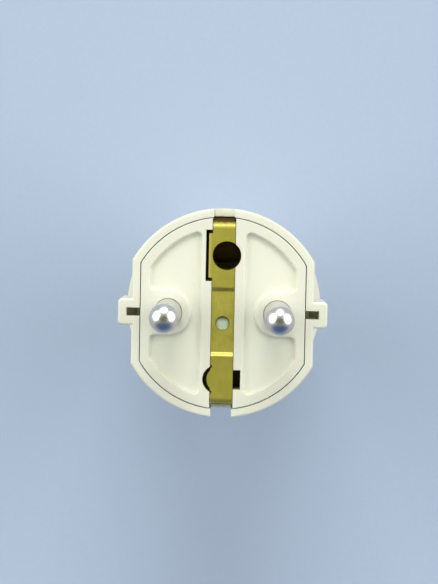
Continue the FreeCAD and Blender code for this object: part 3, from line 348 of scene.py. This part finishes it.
class PlugGrommetSettings(PropertyGroup):
    """Sizes, colours and gloss of the grommet in the cord inlet."""

    bore: FloatProperty(
        name="Bore", description="Radius of the grommet's bore",
        subtype="DISTANCE", unit="LENGTH", min=0, default=0.0042)
    lip: FloatProperty(
        name="Lip", description="Radius of the lip in the rear wall",
        subtype="DISTANCE", unit="LENGTH", min=0, default=0.0055)
    lip_height: FloatProperty(
        name="Lip height", description="Height of the lip in the rear wall",
        subtype="DISTANCE", unit="LENGTH", min=0, default=0.0016)
    flange_height: FloatProperty(
        name="Flange height", description="Thickness of the flange behind the rear wall",
        subtype="DISTANCE", unit="LENGTH", min=0, default=0.0025)
    sleeve: FloatProperty(
        name="Sleeve", description="Radius of the sleeve inside the hood",
        subtype="DISTANCE", unit="LENGTH", min=0, default=0.006)
    rounding: FloatProperty(
        name="Rounding", description="Rounding of the grommet's rims",
        subtype="DISTANCE", unit="LENGTH", min=0, default=0.0003)
    rubber_light: FloatVectorProperty(
        name="Rubber, light", description="Lighter tone of the soft grommet",
        subtype="COLOR", size=3, min=0, max=1, default=(0.42, 0.41, 0.36))
    rubber_dark: FloatVectorProperty(
        name="Rubber, dark", description="Darker tone of the soft grommet",
        subtype="COLOR", size=3, min=0, max=1, default=(0.33, 0.32, 0.28))
    dust: FloatVectorProperty(
        name="Dust", description="Tone of the dust specks on the rubber",
        subtype="COLOR", size=3, min=0, max=1, default=(0.6, 0.58, 0.5))
    dust_share: FloatProperty(
        name="Dust share", description="How strongly the dust specks show",
        subtype="FACTOR", min=0, max=1, default=0.5)
    smooth: FloatProperty(
        name="Smoothest", description="Roughness of the smoothest rubber",
        subtype="FACTOR", min=0, max=1, default=0.58)
    dull: FloatProperty(
        name="Dullest", description="Roughness of the dullest rubber",
        subtype="FACTOR", min=0, max=1, default=0.72)
    grain_height: FloatProperty(
        name="Grain height", description="Height of the rubber's fine texture",
        subtype="DISTANCE", unit="LENGTH", min=0, default=0.00002)


class PlugStageSettings(PropertyGroup):
    """Floor, room, lamps and camera."""

    floor_colour: FloatVectorProperty(
        name="Floor", description="Pale colour of the floor",
        subtype="COLOR", size=3, min=0, max=1, default=(0.45, 0.54, 0.68))
    floor_radius: FloatProperty(
        name="Floor radius", description="Half the width of the floor",
        subtype="DISTANCE", unit="LENGTH", min=0.5, default=3.0)
    floor_height: FloatProperty(
        name="Floor, tooth", description="Height of the floor's paper tooth",
        subtype="DISTANCE", unit="LENGTH", min=0, default=0.00002)
    room: FloatVectorProperty(
        name="Room", description="Light of the room's pale walls and ceiling",
        subtype="COLOR", size=3, min=0, max=1, default=(0.50, 0.50, 0.49))
    room_dim: FloatVectorProperty(
        name="Room, dim side", description="Light of the room on the side away from the earth hole",
        subtype="COLOR", size=3, min=0, max=1, default=(0.07, 0.12, 0.24))
    room_above: FloatVectorProperty(
        name="Room, above", description="Light of the dim patch of the ceiling above the plug",
        subtype="COLOR", size=3, min=0, max=1, default=(0.15, 0.17, 0.09))
    key_power: FloatProperty(
        name="Key lamp", description="Power of the large lamp on the side of the earth hole",
        subtype="POWER", unit="POWER", min=0, default=29.0)
    side_power: FloatProperty(
        name="Side lamps", description="Power of each of the two lamps at the sides",
        subtype="POWER", unit="POWER", min=0, default=23.4)
    camera_place: FloatVectorProperty(
        name="Camera place", description="Where the camera stands",
        subtype="TRANSLATION", unit="LENGTH", size=3, default=(0.00188, 0.01774, 0.35632))
    camera_turn: FloatVectorProperty(
        name="Camera turn", description="Turn of a camera that would look straight down",
        subtype="EULER", unit="ROTATION", size=3, default=(-0.046807, 0.009625, 0.020492))
    lens: FloatProperty(
        name="Lens", description="Focal length in millimetres on a frame 36 mm wide",
        subtype="DISTANCE_CAMERA", unit="CAMERA", min=1, default=141.88)


def put(tree, kind, inputs=None, **settings):
    """Adds a node, sets its properties and the values of its inputs."""
    node = tree.nodes.new(kind)
    for name, value in settings.items():
        setattr(node, name, value)
    for name, value in (inputs or {}).items():
        if isinstance(value, bpy.types.NodeSocket):
            tree.links.new(value, node.inputs[name])
        else:
            node.inputs[name].default_value = value
    return node


def math_node(tree, operation, first, second):
    """A sum, product or the like of two values."""
    return put(tree, "ShaderNodeMath", {0: first, 1: second}, operation=operation).outputs[0]


def vector_node(tree, operation, first, second=ORIGIN):
    """A sum, product or the like of two vectors."""
    return put(tree, "ShaderNodeVectorMath", {0: first, 1: second}, operation=operation).outputs[0]


def added(tree, first, second, share):
    """A value plus a share of another."""
    return math_node(tree, "ADD", first, math_node(tree, "MULTIPLY", second, share))


def ranged(tree, value, low=0.0, high=1.0, to_low=0.0, to_high=1.0):
    """Maps a value from one range to another, smoothly and without going past it."""
    node = put(tree, "ShaderNodeMapRange", {
        "Value": value, "From Min": low, "From Max": high, "To Min": to_low, "To Max": to_high,
    }, interpolation_type="SMOOTHSTEP")
    return node.outputs["Result"]


def noise(tree, vector, scale=1.0, detail=2.0, roughness=0.5):
    """A cloudy value."""
    node = put(tree, "ShaderNodeTexNoise", {
        "Vector": vector, "Scale": scale, "Detail": detail, "Roughness": roughness})
    return node.outputs["Fac"]


def stretched(tree, vector, scale):
    """Coordinates drawn out along some axes."""
    return put(tree, "ShaderNodeMapping", {"Vector": vector, "Scale": scale}).outputs["Vector"]


def ragged(tree, vector, scale, reach):
    """Coordinates shaken by a fine noise."""
    node = put(tree, "ShaderNodeTexNoise", {"Vector": vector, "Scale": scale, "Detail": 2.0})
    shake = vector_node(tree, "SUBTRACT", node.outputs["Color"], NOISE_MIDDLE)
    return vector_node(tree, "ADD", vector, vector_node(tree, "MULTIPLY", shake, (reach, reach, reach)))


def opaque(tone):
    """A colour socket as it is, or a plain colour with nothing showing through."""
    return tone if isinstance(tone, bpy.types.NodeSocket) else (*tone, 1.0)


def mixed(tree, factor, first, second):
    """A colour between two others."""
    node = put(tree, "ShaderNodeMix", {
        MIX_FACTOR: factor, MIX_FIRST: opaque(first), MIX_SECOND: opaque(second)}, data_type="RGBA")
    return node.outputs[MIX_RESULT]


def new_group(name, inputs, outputs):
    """An empty shader group with named sockets, what it is given, and its end node."""
    tree = bpy.data.node_groups.new(name, "ShaderNodeTree")
    for label, kind, value in inputs:
        socket = tree.interface.new_socket(name=label, in_out="INPUT", socket_type=kind)
        if value is not None:
            socket.default_value = value
    for label in outputs:
        tree.interface.new_socket(name=label, in_out="OUTPUT", socket_type="NodeSocketFloat")
    return tree, tree.nodes.new("NodeGroupInput").outputs, tree.nodes.new("NodeGroupOutput")


def moulded_skin():
    """Cloudy tone, fine mould texture and rare dust specks of a moulded surface."""
    if "Moulded skin" in bpy.data.node_groups:
        return bpy.data.node_groups["Moulded skin"]
    tree, given, out = new_group("Moulded skin", [
        ("Vector", "NodeSocketVector", None),
        ("Cloud Scale", "NodeSocketFloat", 150.0),
        ("Wave Scale", "NodeSocketFloat", 600.0),
        ("Grain Scale", "NodeSocketFloat", 5200.0),
        ("Dust Scale", "NodeSocketFloat", 2300.0),
    ], ("Cloud", "Speck", "Height"))
    place = given["Vector"]
    cloud = noise(tree, place, given["Cloud Scale"], detail=4.0, roughness=0.55)
    grain = noise(tree, place, given["Grain Scale"], detail=3.0, roughness=0.6)
    wave = noise(tree, place, given["Wave Scale"], detail=1.0)
    dust = noise(tree, place, given["Dust Scale"], detail=0.0)
    tree.links.new(ranged(tree, cloud, low=0.32, high=0.68), out.inputs["Cloud"])
    tree.links.new(ranged(tree, dust, low=0.82, high=0.86), out.inputs["Speck"])
    tree.links.new(added(tree, grain, wave, share=0.6), out.inputs["Height"])
    return tree


def box_zone():
    """A soft mask that is 1 inside a box."""
    if "Box zone" in bpy.data.node_groups:
        return bpy.data.node_groups["Box zone"]
    tree, given, out = new_group("Box zone", [
        ("Vector", "NodeSocketVector", None),
        ("Centre", "NodeSocketVector", (0.0, 0.0, 0.0)),
        ("Half", "NodeSocketVector", (0.001, 0.001, 0.001)),
        ("Softness", "NodeSocketFloat", 0.0002),
    ], ("Mask",))
    away = vector_node(tree, "ABSOLUTE", vector_node(tree, "SUBTRACT", given["Vector"], given["Centre"]))
    inside = vector_node(tree, "SUBTRACT", given["Half"], away)
    parts = put(tree, "ShaderNodeSeparateXYZ", {"Vector": inside}).outputs
    least = math_node(tree, "MINIMUM", math_node(tree, "MINIMUM", parts["X"], parts["Y"]), parts["Z"])
    share = math_node(tree, "DIVIDE", least, given["Softness"])
    tree.links.new(ranged(tree, share), out.inputs["Mask"])
    return tree


def rolled_strip():
    """Rolling streaks along Y, cloudy tarnish and small pits of a brass strip."""
    if "Rolled strip" in bpy.data.node_groups:
        return bpy.data.node_groups["Rolled strip"]
    tree, given, out = new_group("Rolled strip", [
        ("Vector", "NodeSocketVector", None),
    ], ("Tarnish", "Streak", "Height"))
    place = given["Vector"]
    along = stretched(tree, place, (7000.0, 420.0, 7000.0))
    across = stretched(tree, place, (900.0, 3800.0, 900.0))
    streak = noise(tree, along, detail=3.0, roughness=0.6)
    cross = noise(tree, across)
    cloud = noise(tree, place, scale=420.0, detail=4.0, roughness=0.6)
    pits = ranged(tree, noise(tree, place, scale=3600.0), low=0.62, high=0.72)
    marks = added(tree, streak, cross, share=0.5)
    tree.links.new(ranged(tree, cloud, low=0.35, high=0.65), out.inputs["Tarnish"])
    tree.links.new(streak, out.inputs["Streak"])
    tree.links.new(added(tree, marks, pits, share=-0.8), out.inputs["Height"])
    return tree


def turned_metal():
    """Fine tool rings around Z and rubbed lines along Z."""
    if "Turned metal" in bpy.data.node_groups:
        return bpy.data.node_groups["Turned metal"]
    tree, given, out = new_group("Turned metal", [
        ("Vector", "NodeSocketVector", None),
    ], ("Rub", "Ring", "Height"))
    around = stretched(tree, given["Vector"], (40.0, 40.0, 9000.0))
    along = stretched(tree, given["Vector"], (3200.0, 3200.0, 160.0))
    ring = noise(tree, around)
    rub = noise(tree, along, detail=3.0, roughness=0.6)
    tree.links.new(ranged(tree, rub, low=0.5, high=0.72), out.inputs["Rub"])
    tree.links.new(ring, out.inputs["Ring"])
    tree.links.new(added(tree, ring, rub, share=0.5), out.inputs["Height"])
    return tree


def new_finish(name, constants):
    """A material with one Principled shader, its constants and the Object coordinates."""
    material = bpy.data.materials.new(name)
    material.use_nodes = True
    tree = material.node_tree
    tree.nodes.clear()
    surface = put(tree, "ShaderNodeBsdfPrincipled", constants)
    tree.links.new(surface.outputs["BSDF"], tree.nodes.new("ShaderNodeOutputMaterial").inputs["Surface"])
    return material, tree, surface, put(tree, "ShaderNodeTexCoord").outputs["Object"]


def use_group(tree, group, vector, **values):
    """Places a shader group with its own values."""
    node = put(tree, "ShaderNodeGroup", node_tree=group)
    tree.links.new(vector, node.inputs["Vector"])
    for label, value in values.items():
        node.inputs[label.replace("_", " ").title()].default_value = value
    return node.outputs


def zone_mask(tree, vector, zone):
    """The soft mask of a zone."""
    return use_group(tree, box_zone(), vector, **zone._asdict())["Mask"]


def bump(tree, surface, height, distance):
    """Raises the surface by a height pattern."""
    node = put(tree, "ShaderNodeBump", {"Height": height, "Distance": distance, "Strength": 1.0})
    tree.links.new(node.outputs["Normal"], surface.inputs["Normal"])


def feed(tree, surface, **sockets):
    """Links patterns to the shader's sockets."""
    for label, socket in sockets.items():
        tree.links.new(socket, surface.inputs[label.replace("_", " ").title()])


def dress(material, *names):
    """Gives a material to nodes of the frame."""
    for name in names:
        for slot in NODES[name].material_slots:
            slot.material = material


def plastic_finish(name, light, dark, smooth, dull, settings, zones=()):
    """Moulded plastic with soft clouds; zones come with their colour and least roughness."""
    material, tree, surface, place = new_finish(name, {
        "IOR": 1.49, "Subsurface Weight": 0.35, "Subsurface Scale": 0.0012,
        "Subsurface Radius": (1.0, 0.8, 0.5)})
    skin = use_group(tree, moulded_skin(), place, cloud_scale=150.0, wave_scale=600.0, grain_scale=5200.0)
    tone = mixed(tree, skin["Cloud"], dark, light)
    rough = ranged(tree, skin["Cloud"], to_low=dull, to_high=smooth)
    for zone, zone_tone, least in zones:
        mask = zone_mask(tree, place, zone)
        tone = mixed(tree, mask, tone, zone_tone)
        rough = math_node(tree, "MAXIMUM", rough, math_node(tree, "MULTIPLY", mask, least))
    specks = math_node(tree, "MULTIPLY", skin["Speck"], settings.dust_share)
    feed(tree, surface, base_color=mixed(tree, specks, tone, settings.dust), roughness=rough)
    bump(tree, surface, skin["Height"], settings.grain_height)
    return material


def rubber_finish(settings):
    """Soft matt rubber with a little dust."""
    material, tree, surface, place = new_finish("grommet_rubber", {"Specular IOR Level": 0.35})
    skin = use_group(tree, moulded_skin(), place, cloud_scale=300.0, wave_scale=1200.0, grain_scale=4200.0)
    tone = mixed(tree, skin["Cloud"], settings.rubber_dark, settings.rubber_light)
    specks = math_node(tree, "MULTIPLY", skin["Speck"], settings.dust_share)
    feed(tree, surface, base_color=mixed(tree, specks, tone, settings.dust),
         roughness=ranged(tree, skin["Cloud"], to_low=settings.dull, to_high=settings.smooth))
    bump(tree, surface, skin["Height"], settings.grain_height)
    return material


def brass_finish(settings):
    """Rolled brass, darker towards the earth strap's ends, with painted highlights on its tab edge and
    lower step and painted shade at its folds.
    """
    material, tree, surface, place = new_finish("rolled_brass", {
        "Specular IOR Level": 0.0, "Coat Roughness": 0.32})
    strip = use_group(tree, rolled_strip(), place)
    tone = mixed(tree, strip["Tarnish"], settings.brass_bright, settings.brass_dull)
    streaks = ranged(tree, strip["Streak"], low=0.3, high=0.7, to_high=settings.streak_share)
    tone = mixed(tree, streaks, tone, settings.brass_streak)
    # The brass gets darker towards the strap's ends.
    ends_darker = ranged(tree, zone_mask(tree, place, STRAP_MIDDLE), to_low=settings.worn_share, to_high=0.0)
    tone = mixed(tree, ends_darker, tone, settings.brass_worn)
    # Painted highlight: paler brass on the tab's edge.
    tone = mixed(tree, zone_mask(tree, place, STRAP_TAB_HIGHLIGHT), tone, settings.brass_rubbed)
    # Painted highlight: bright brass on the lower step's slope.
    tone = mixed(tree, zone_mask(tree, place, STRAP_SLOPE_HIGHLIGHT), tone, settings.brass_polished)
    # Painted shade and dark reflection at the folds: brown and matt, without metal or coat.
    edge = ragged(tree, place, scale=1800.0, reach=settings.fold_ragged)
    fold = stretched(tree, edge, (1.0, 1.0, FOLD_SHRINK))
    fold_shade = math_node(tree, "MAXIMUM", *(zone_mask(tree, fold, zone) for zone in STRAP_FOLD_SHADES))
    feed(tree, surface, base_color=mixed(tree, fold_shade, tone, settings.brass_brown),
         metallic=ranged(tree, fold_shade, to_low=1.0, to_high=0.0),
         coat_weight=ranged(tree, fold_shade, high=0.5, to_low=settings.brass_coat, to_high=0.0),
         roughness=ranged(tree, strip["Streak"], low=0.25, high=0.75,
                          to_low=settings.brass_smooth, to_high=settings.brass_rough))
    bump(tree, surface, strip["Height"], settings.brass_height)
    return material


def nickel_finish(settings):
    """Bright nickel plate on turned pins."""
    material, tree, surface, place = new_finish("turned_nickel", {
        "Metallic": 1.0, "Specular Tint": (0.8, 0.8, 0.82, 1.0)})
    marks = use_group(tree, turned_metal(), place)
    rubbed = math_node(tree, "MULTIPLY", marks["Rub"], settings.rub_share)
    rings = ranged(tree, marks["Ring"], low=0.3, high=0.7,
                   to_low=settings.nickel_smooth, to_high=settings.nickel_rough)
    feed(tree, surface, base_color=mixed(tree, rubbed, settings.nickel_bright, settings.nickel_dull),
         roughness=added(tree, rings, marks["Rub"], share=settings.nickel_rub))
    bump(tree, surface, marks["Height"], settings.nickel_height)
    return material


def zinc_finish(settings):
    """Zinc plate with soft clouds and fine grain."""
    if "zinc_plate" in bpy.data.materials:
        return bpy.data.materials["zinc_plate"]
    material, tree, surface, place = new_finish("zinc_plate", {"Metallic": 1.0})
    cloud = noise(tree, place, scale=900.0, detail=4.0, roughness=0.6)
    bright = ranged(tree, cloud, low=0.35, high=0.65)
    feed(tree, surface, base_color=mixed(tree, bright, settings.zinc_dull, settings.zinc_bright),
         roughness=ranged(tree, cloud, low=0.3, high=0.7,
                          to_low=settings.zinc_smooth, to_high=settings.zinc_rough))
    bump(tree, surface, noise(tree, place, scale=6000.0), settings.zinc_height)
    return material


def floor_finish(settings):
    """Pale paper with a fine fleck."""
    material, tree, surface, place = new_finish("floor_paper", {"Roughness": 0.85})
    paper = noise(tree, place, scale=900.0, detail=4.0, roughness=0.6)
    tone = Vector(settings.floor_colour)
    feed(tree, surface, base_color=mixed(tree, paper, tone * (1 - FLOOR_FLECK), tone * (1 + FLOOR_FLECK)))
    bump(tree, surface, noise(tree, place, scale=2500.0, detail=3.0), settings.floor_height)
    return material


def new_piece(name, shape, material, node):
    """Turns a shape into a piece of the plug that stands for a node."""
    mesh = bpy.data.meshes.new(name)
    shape.to_mesh(mesh)
    shape.free()
    mesh.shade_smooth()
    mesh.set_sharp_from_angle(angle=SHARP_ANGLE)
    mesh.materials.append(material)
    piece = bpy.data.objects.new(name, mesh)
    bpy.context.collection.objects.link(piece)
    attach(piece, "root")
    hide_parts(node)


def merge(shape):
    """Joins corners that meet, and points the faces outwards."""
    bmesh.ops.remove_doubles(shape, verts=shape.verts, dist=MERGE_REACH)
    bmesh.ops.recalc_face_normals(shape, faces=shape.faces)


def spun(corners, steps):
    """A shape turned about Z from corners of radius and height, closed on the axis or on itself."""
    shape = bmesh.new()
    line = [shape.verts.new((radius, 0, height)) for radius, height in corners]
    edges = [shape.edges.new(pair) for pair in zip(line, line[1:])]
    if corners[0][0] > 0:
        edges.append(shape.edges.new((line[-1], line[0])))
    bmesh.ops.spin(shape, geom=line + edges, cent=ORIGIN, axis=UP, angle=2 * math.pi, steps=steps,
                   use_merge=True)
    merge(shape)
    return shape


def round_rims(shape, rims, offset):
    """Rounds the circular edges at some radii and heights."""
    def on_rim(vertex):
        radius = math.hypot(vertex.co.x, vertex.co.y)
        return any(abs(radius - rim_radius) < RIM_REACH and abs(vertex.co.z - rim_height) < RIM_REACH
                   for rim_radius, rim_height in rims)

    edges = [edge for edge in shape.edges
             if all(map(on_rim, edge.verts))
             and abs(edge.verts[0].co.z - edge.verts[1].co.z) < RIM_REACH]
    bmesh.ops.bevel(shape, geom=edges, offset=offset, segments=RIM_STEPS, profile=0.5, affect="EDGES",
                    material=-1)


def sliced(shape, point, normal, cut_off=False):
    """Cuts a shape along a plane, and can take off the normal's side; gives the edges of the cut."""
    everything = [*shape.verts, *shape.edges, *shape.faces]
    result = bmesh.ops.bisect_plane(shape, geom=everything, dist=PLANE_REACH, plane_co=point,
                                    plane_no=normal, clear_outer=cut_off)
    return [item for item in result["geom_cut"] if isinstance(item, bmesh.types.BMEdge)]


def cut_away(shape, point, normal):
    """Cuts off what lies on the normal's side of a plane and closes the cut."""
    bmesh.ops.edgeloop_fill(shape, edges=sliced(shape, point, normal, cut_off=True))
    bmesh.ops.recalc_face_normals(shape, faces=shape.faces)


def joined(shapes):
    """One shape of several closed ones."""
    whole = bmesh.new()
    for shape in shapes:
        mesh = bpy.data.meshes.new("joined")
        shape.to_mesh(mesh)
        shape.free()
        whole.from_mesh(mesh)
        bpy.data.meshes.remove(mesh)
    return whole


def thread(radius, length, settings):
    """A threaded shank from the origin down, with a pointed end."""
    shape = bmesh.new()
    pitch = settings.pitch
    root = radius - settings.thread_depth
    line = [shape.verts.new((root + out * settings.thread_depth, 0, rise * pitch - length - pitch))
            for out, rise in THREAD_OUTLINE]
    edges = [shape.edges.new(pair) for pair in zip(line, line[1:])]
    turns = math.ceil(length / pitch) + SPARE_TURNS
    steps = settings.thread_steps
    bmesh.ops.spin(shape, geom=line + edges, cent=ORIGIN, axis=UP, dvec=(0, 0, pitch / steps),
                   angle=2 * math.pi * turns, steps=steps * turns)
    merge(shape)
    cut_away(shape, ORIGIN, UP)
    cut_away(shape, (0, 0, -length), DOWN)
    point = [vertex for vertex in shape.verts if vertex.co.z < pitch / 2 - length]
    bmesh.ops.scale(shape, vec=(POINT_SHARE, POINT_SHARE, 1.0), verts=point)
    return shape


def slotted_head(radius, settings):
    """A cheese head on the origin with a straight slot along X."""
    top = settings.head_height
    floor = top - settings.drive_depth
    half = settings.drive_width / 2
    shape = spun([(0.0, 0.0), (radius, 0.0), (radius, top), (0.0, top)], HEAD_STEPS)
    round_rims(shape, [(radius, top)], settings.head_round)
    sliced(shape, (0, -half, 0), ACROSS)
    sliced(shape, (0, half, 0), ACROSS)
    sliced(shape, (0, 0, floor), UP)
    slot = [face for face in shape.faces
            if abs(face.calc_center_median().y) < half and face.calc_center_median().z > floor]
    bmesh.ops.delete(shape, geom=slot, context="FACES")
    for wall in (-half, half):
        rim = [edge for edge in shape.edges if edge.is_boundary
               and all(abs(vertex.co.y - wall) < MERGE_REACH for vertex in edge.verts)]
        feet = [vertex for edge in rim for vertex in edge.verts
                if abs(vertex.co.z - floor) < MERGE_REACH]
        bmesh.ops.edgeloop_fill(shape, edges=[*rim, shape.edges.new(feet)])
    bmesh.ops.edgeloop_fill(shape, edges=[edge for edge in shape.edges if edge.is_boundary])
    bmesh.ops.recalc_face_normals(shape, faces=shape.faces)
    return shape


def screw_shape(node, screw, settings):
    """A threaded and slotted screw in the place of its node."""
    low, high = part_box(node)
    along = "XYZ".index(screw.axis)
    length = high[along] - low[along] - settings.head_height
    seat = (low + high) / 2
    seat[along] = low[along] + settings.head_height
    shape = joined([thread(screw.shank, length, settings), slotted_head(screw.head, settings)])
    turn = Matrix.Rotation(HEAD_TURNS[screw.axis], 4, "X")
    bmesh.ops.transform(shape, matrix=Matrix.Translation(seat) @ turn, verts=shape.verts)
    return shape


def grommet_shape(settings):
    """A bushing with a lip in the rear wall, a flange behind it and a sleeve inside the hood."""
    low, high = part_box("cord_grommet")
    flange = (high.x - low.x) / 2
    seat = low.z + settings.lip_height
    step = seat + settings.flange_height
    shape = spun([
        (settings.bore, low.z), (settings.lip, low.z), (settings.lip, seat), (flange, seat), (flange, step),
        (settings.sleeve, step), (settings.sleeve, high.z), (settings.bore, high.z)], GROMMET_STEPS)
    round_rims(shape, [
        (settings.bore, low.z), (settings.lip, low.z), (flange, seat), (flange, step),
        (settings.sleeve, high.z), (settings.bore, high.z)], settings.rounding)
    return shape


def lay_floor(settings):
    """A round pale floor under the plug."""
    mesh = bpy.data.meshes.new("floor")
    shape = bmesh.new()
    bmesh.ops.create_circle(shape, cap_ends=True, cap_tris=False, segments=FLOOR_STEPS,
                            radius=settings.floor_radius)
    shape.to_mesh(mesh)
    shape.free()
    mesh.materials.append(floor_finish(settings))
    floor = bpy.data.objects.new("floor", mesh)
    bpy.context.collection.objects.link(floor)


def light_room(settings):
    """A pale room with two dim patches."""
    world = bpy.data.worlds.new("studio")
    world.use_nodes = True
    tree = world.node_tree
    way = put(tree, "ShaderNodeTexCoord").outputs["Generated"]
    way = vector_node(tree, "NORMALIZE", vector_node(tree, "MULTIPLY", way, ROOM_STRETCH))
    tone = settings.room
    for patch in ROOM_PATCHES:
        near = put(tree, "ShaderNodeVectorMath", {0: way, 1: patch.toward}, operation="DOT_PRODUCT")
        dim = ranged(tree, near.outputs["Value"], low=patch.start, high=patch.full)
        tone = mixed(tree, dim, tone, getattr(settings, patch.light))
    tree.links.new(tone, tree.nodes["Background"].inputs["Color"])
    bpy.context.scene.world = world


def hang_lamp(lamp, power):
    """A soft oval lamp that points at the plug's face."""
    data = bpy.data.lights.new(lamp.name, "AREA")
    data.shape = "ELLIPSE"
    data.size = lamp.width
    data.size_y = lamp.length
    data.energy = power
    hung = bpy.data.objects.new(lamp.name, data)
    bpy.context.collection.objects.link(hung)
    hung.location = lamp.place
    way = Vector((0.0, 0.0, FACE)) - Vector(lamp.place)
    hung.rotation_euler = way.to_track_quat("-Z", "Y").to_euler()


def set_camera(settings):
    """The camera above the plug's face."""
    data = bpy.data.cameras.new("camera")
    data.sensor_fit = "HORIZONTAL"
    data.sensor_width = FRAME_WIDTH_MM
    data.lens = settings.lens
    data.clip_start = NEAREST_SEEN
    camera = bpy.data.objects.new("camera", data)
    bpy.context.collection.objects.link(camera)
    camera.location = settings.camera_place
    camera.rotation_euler = Euler(settings.camera_turn)
    bpy.context.scene.camera = camera


class PLUG_OT_hood(Operator):
    """Give the hood its moulded warm white, with painted light that makes it paler in the earth notches"""

    bl_idname = "plug.hood"
    bl_label = "Hood"

    def execute(self, context):
        settings = context.scene.plug_plastic
        zones = [(notch, settings.notch, settings.notch_dull) for notch in EARTH_NOTCHES]
        dress(plastic_finish("hood_plastic", settings.hood_light, settings.hood_dark,
                             settings.smooth, settings.dull, settings, zones), "hood")
        return {"FINISHED"}


class PLUG_OT_carrier(Operator):
    """Give the contact carrier its moulded warm white, duller on the panel floors, with painted shade on
    the strap's peg and in the deep cuts
    """

    bl_idname = "plug.carrier"
    bl_label = "Contact carrier"

    def execute(self, context):
        settings = context.scene.plug_plastic
        zones = [(panel, settings.panel, settings.panel_dull) for panel in PANEL_FLOORS]
        # Painted shadow and shade on the strap's sunk peg end.
        zones.append((PEG_SHADOW_ZONE, settings.peg_rim, settings.peg_dull))
        zones.append((PEG_MIDDLE, settings.peg, settings.peg_dull))
        # Painted shade inside the deep cuts beside the earth strap.
        zones.extend((cut, settings.depth, settings.depth_dull) for cut in SHADED_CUTS)
        dress(plastic_finish("carrier_plastic", settings.carrier_light, settings.carrier_dark,
                             settings.smooth, settings.dull, settings, zones), "contact_carrier")
        return {"FINISHED"}


class PLUG_OT_inner_plastic(Operator):
    """Give the pin retainer and the clamp bar their plain moulded finish"""

    bl_idname = "plug.inner_plastic"
    bl_label = "Retainer and clamp bar"

    def execute(self, context):
        settings = context.scene.plug_plastic
        dress(plastic_finish("inner_plastic", settings.inner_light, settings.inner_dark,
                             settings.inner_smooth, settings.inner_dull, settings),
              "pin_retainer", "cord_clamp_bar")
        return {"FINISHED"}


class PLUG_OT_brass(Operator):
    """Give the earth strap and the other brass pieces their rolled finish"""

    bl_idname = "plug.brass"
    bl_label = "Brass pieces"

    def execute(self, context):
        dress(brass_finish(context.scene.plug_metal), "earth_strap", "earth_pin_socket",
              "left_wire_leaf", "right_wire_leaf", "earth_clamp_washer")
        return {"FINISHED"}


class PLUG_OT_pins(Operator):
    """Give the pins their bright turned nickel"""

    bl_idname = "plug.pins"
    bl_label = "Pins"

    def execute(self, context):
        dress(nickel_finish(context.scene.plug_metal), "left_pin", "right_pin")
        return {"FINISHED"}


class PLUG_OT_nuts(Operator):
    """Give the square nuts their zinc plate"""

    bl_idname = "plug.nuts"
    bl_label = "Nuts"

    def execute(self, context):
        dress(zinc_finish(context.scene.plug_metal),
              "earth_terminal_nut", "left_clamp_nut", "right_clamp_nut")
        return {"FINISHED"}


class PLUG_OT_screws(Operator):
    """Cut threads and slots into the six screws"""

    bl_idname = "plug.screws"
    bl_label = "Screws"

    def execute(self, context):
        settings = context.scene.plug_screws
        material = zinc_finish(context.scene.plug_metal)
        for node, screw in SCREWS.items():
            new_piece(f"{node}_threaded", screw_shape(node, screw, settings), material, node)
        return {"FINISHED"}


class PLUG_OT_grommet(Operator):
    """Mould the grommet with soft rounded rims"""

    bl_idname = "plug.grommet"
    bl_label = "Grommet"

    def execute(self, context):
        settings = context.scene.plug_grommet
        new_piece("cord_grommet_soft", grommet_shape(settings), rubber_finish(settings),
                  "cord_grommet")
        return {"FINISHED"}


class PLUG_OT_stage(Operator):
    """Set the floor, the room, the lamps and the camera"""

    bl_idname = "plug.stage"
    bl_label = "Stage"

    def execute(self, context):
        settings = context.scene.plug_stage
        lay_floor(settings)
        light_room(settings)
        for lamp in LAMPS:
            hang_lamp(lamp, getattr(settings, lamp.power))
        set_camera(settings)
        context.scene.view_settings.view_transform = "Standard"
        return {"FINISHED"}


class PLUG_PT_pieces(Panel):
    """Lists the pieces of the plug, its stage and their settings"""

    bl_idname = "PLUG_PT_pieces"
    bl_label = "Mains plug"
    bl_space_type = "VIEW_3D"
    bl_region_type = "UI"
    bl_category = "Plug"

    def draw(self, context):
        column = self.layout.column(align=True)
        for operator in OPERATORS:
            column.operator(operator.bl_idname)
        for name, group in SETTINGS.items():
            box = self.layout.box()
            box.label(text=group.__doc__)
            for setting in group.__annotations__:
                box.prop(getattr(context.scene, name), setting)


SETTINGS = {
    "plug_plastic": PlugPlasticSettings,
    "plug_metal": PlugMetalSettings,
    "plug_screws": PlugScrewSettings,
    "plug_grommet": PlugGrommetSettings,
    "plug_stage": PlugStageSettings,
}
OPERATORS = (
    PLUG_OT_hood,
    PLUG_OT_carrier,
    PLUG_OT_inner_plastic,
    PLUG_OT_brass,
    PLUG_OT_pins,
    PLUG_OT_nuts,
    PLUG_OT_screws,
    PLUG_OT_grommet,
    PLUG_OT_stage,
)


def register():
    """Adds the plug's settings, operators and panel."""
    for item in (*SETTINGS.values(), *OPERATORS, PLUG_PT_pieces):
        bpy.utils.register_class(item)
    for name, group in SETTINGS.items():
        setattr(bpy.types.Scene, name, PointerProperty(type=group))


def unregister():
    """Takes the plug's settings, operators and panel away."""
    for name in SETTINGS:
        delattr(bpy.types.Scene, name)
    for item in reversed((*SETTINGS.values(), *OPERATORS, PLUG_PT_pieces)):
        bpy.utils.unregister_class(item)


def main():
    register()
    bpy.ops.plug.hood()
    bpy.ops.plug.carrier()
    bpy.ops.plug.inner_plastic()
    bpy.ops.plug.brass()
    bpy.ops.plug.pins()
    bpy.ops.plug.nuts()
    bpy.ops.plug.screws()
    bpy.ops.plug.grommet()
    bpy.ops.plug.stage()


if __name__ == "__main__":
    main()
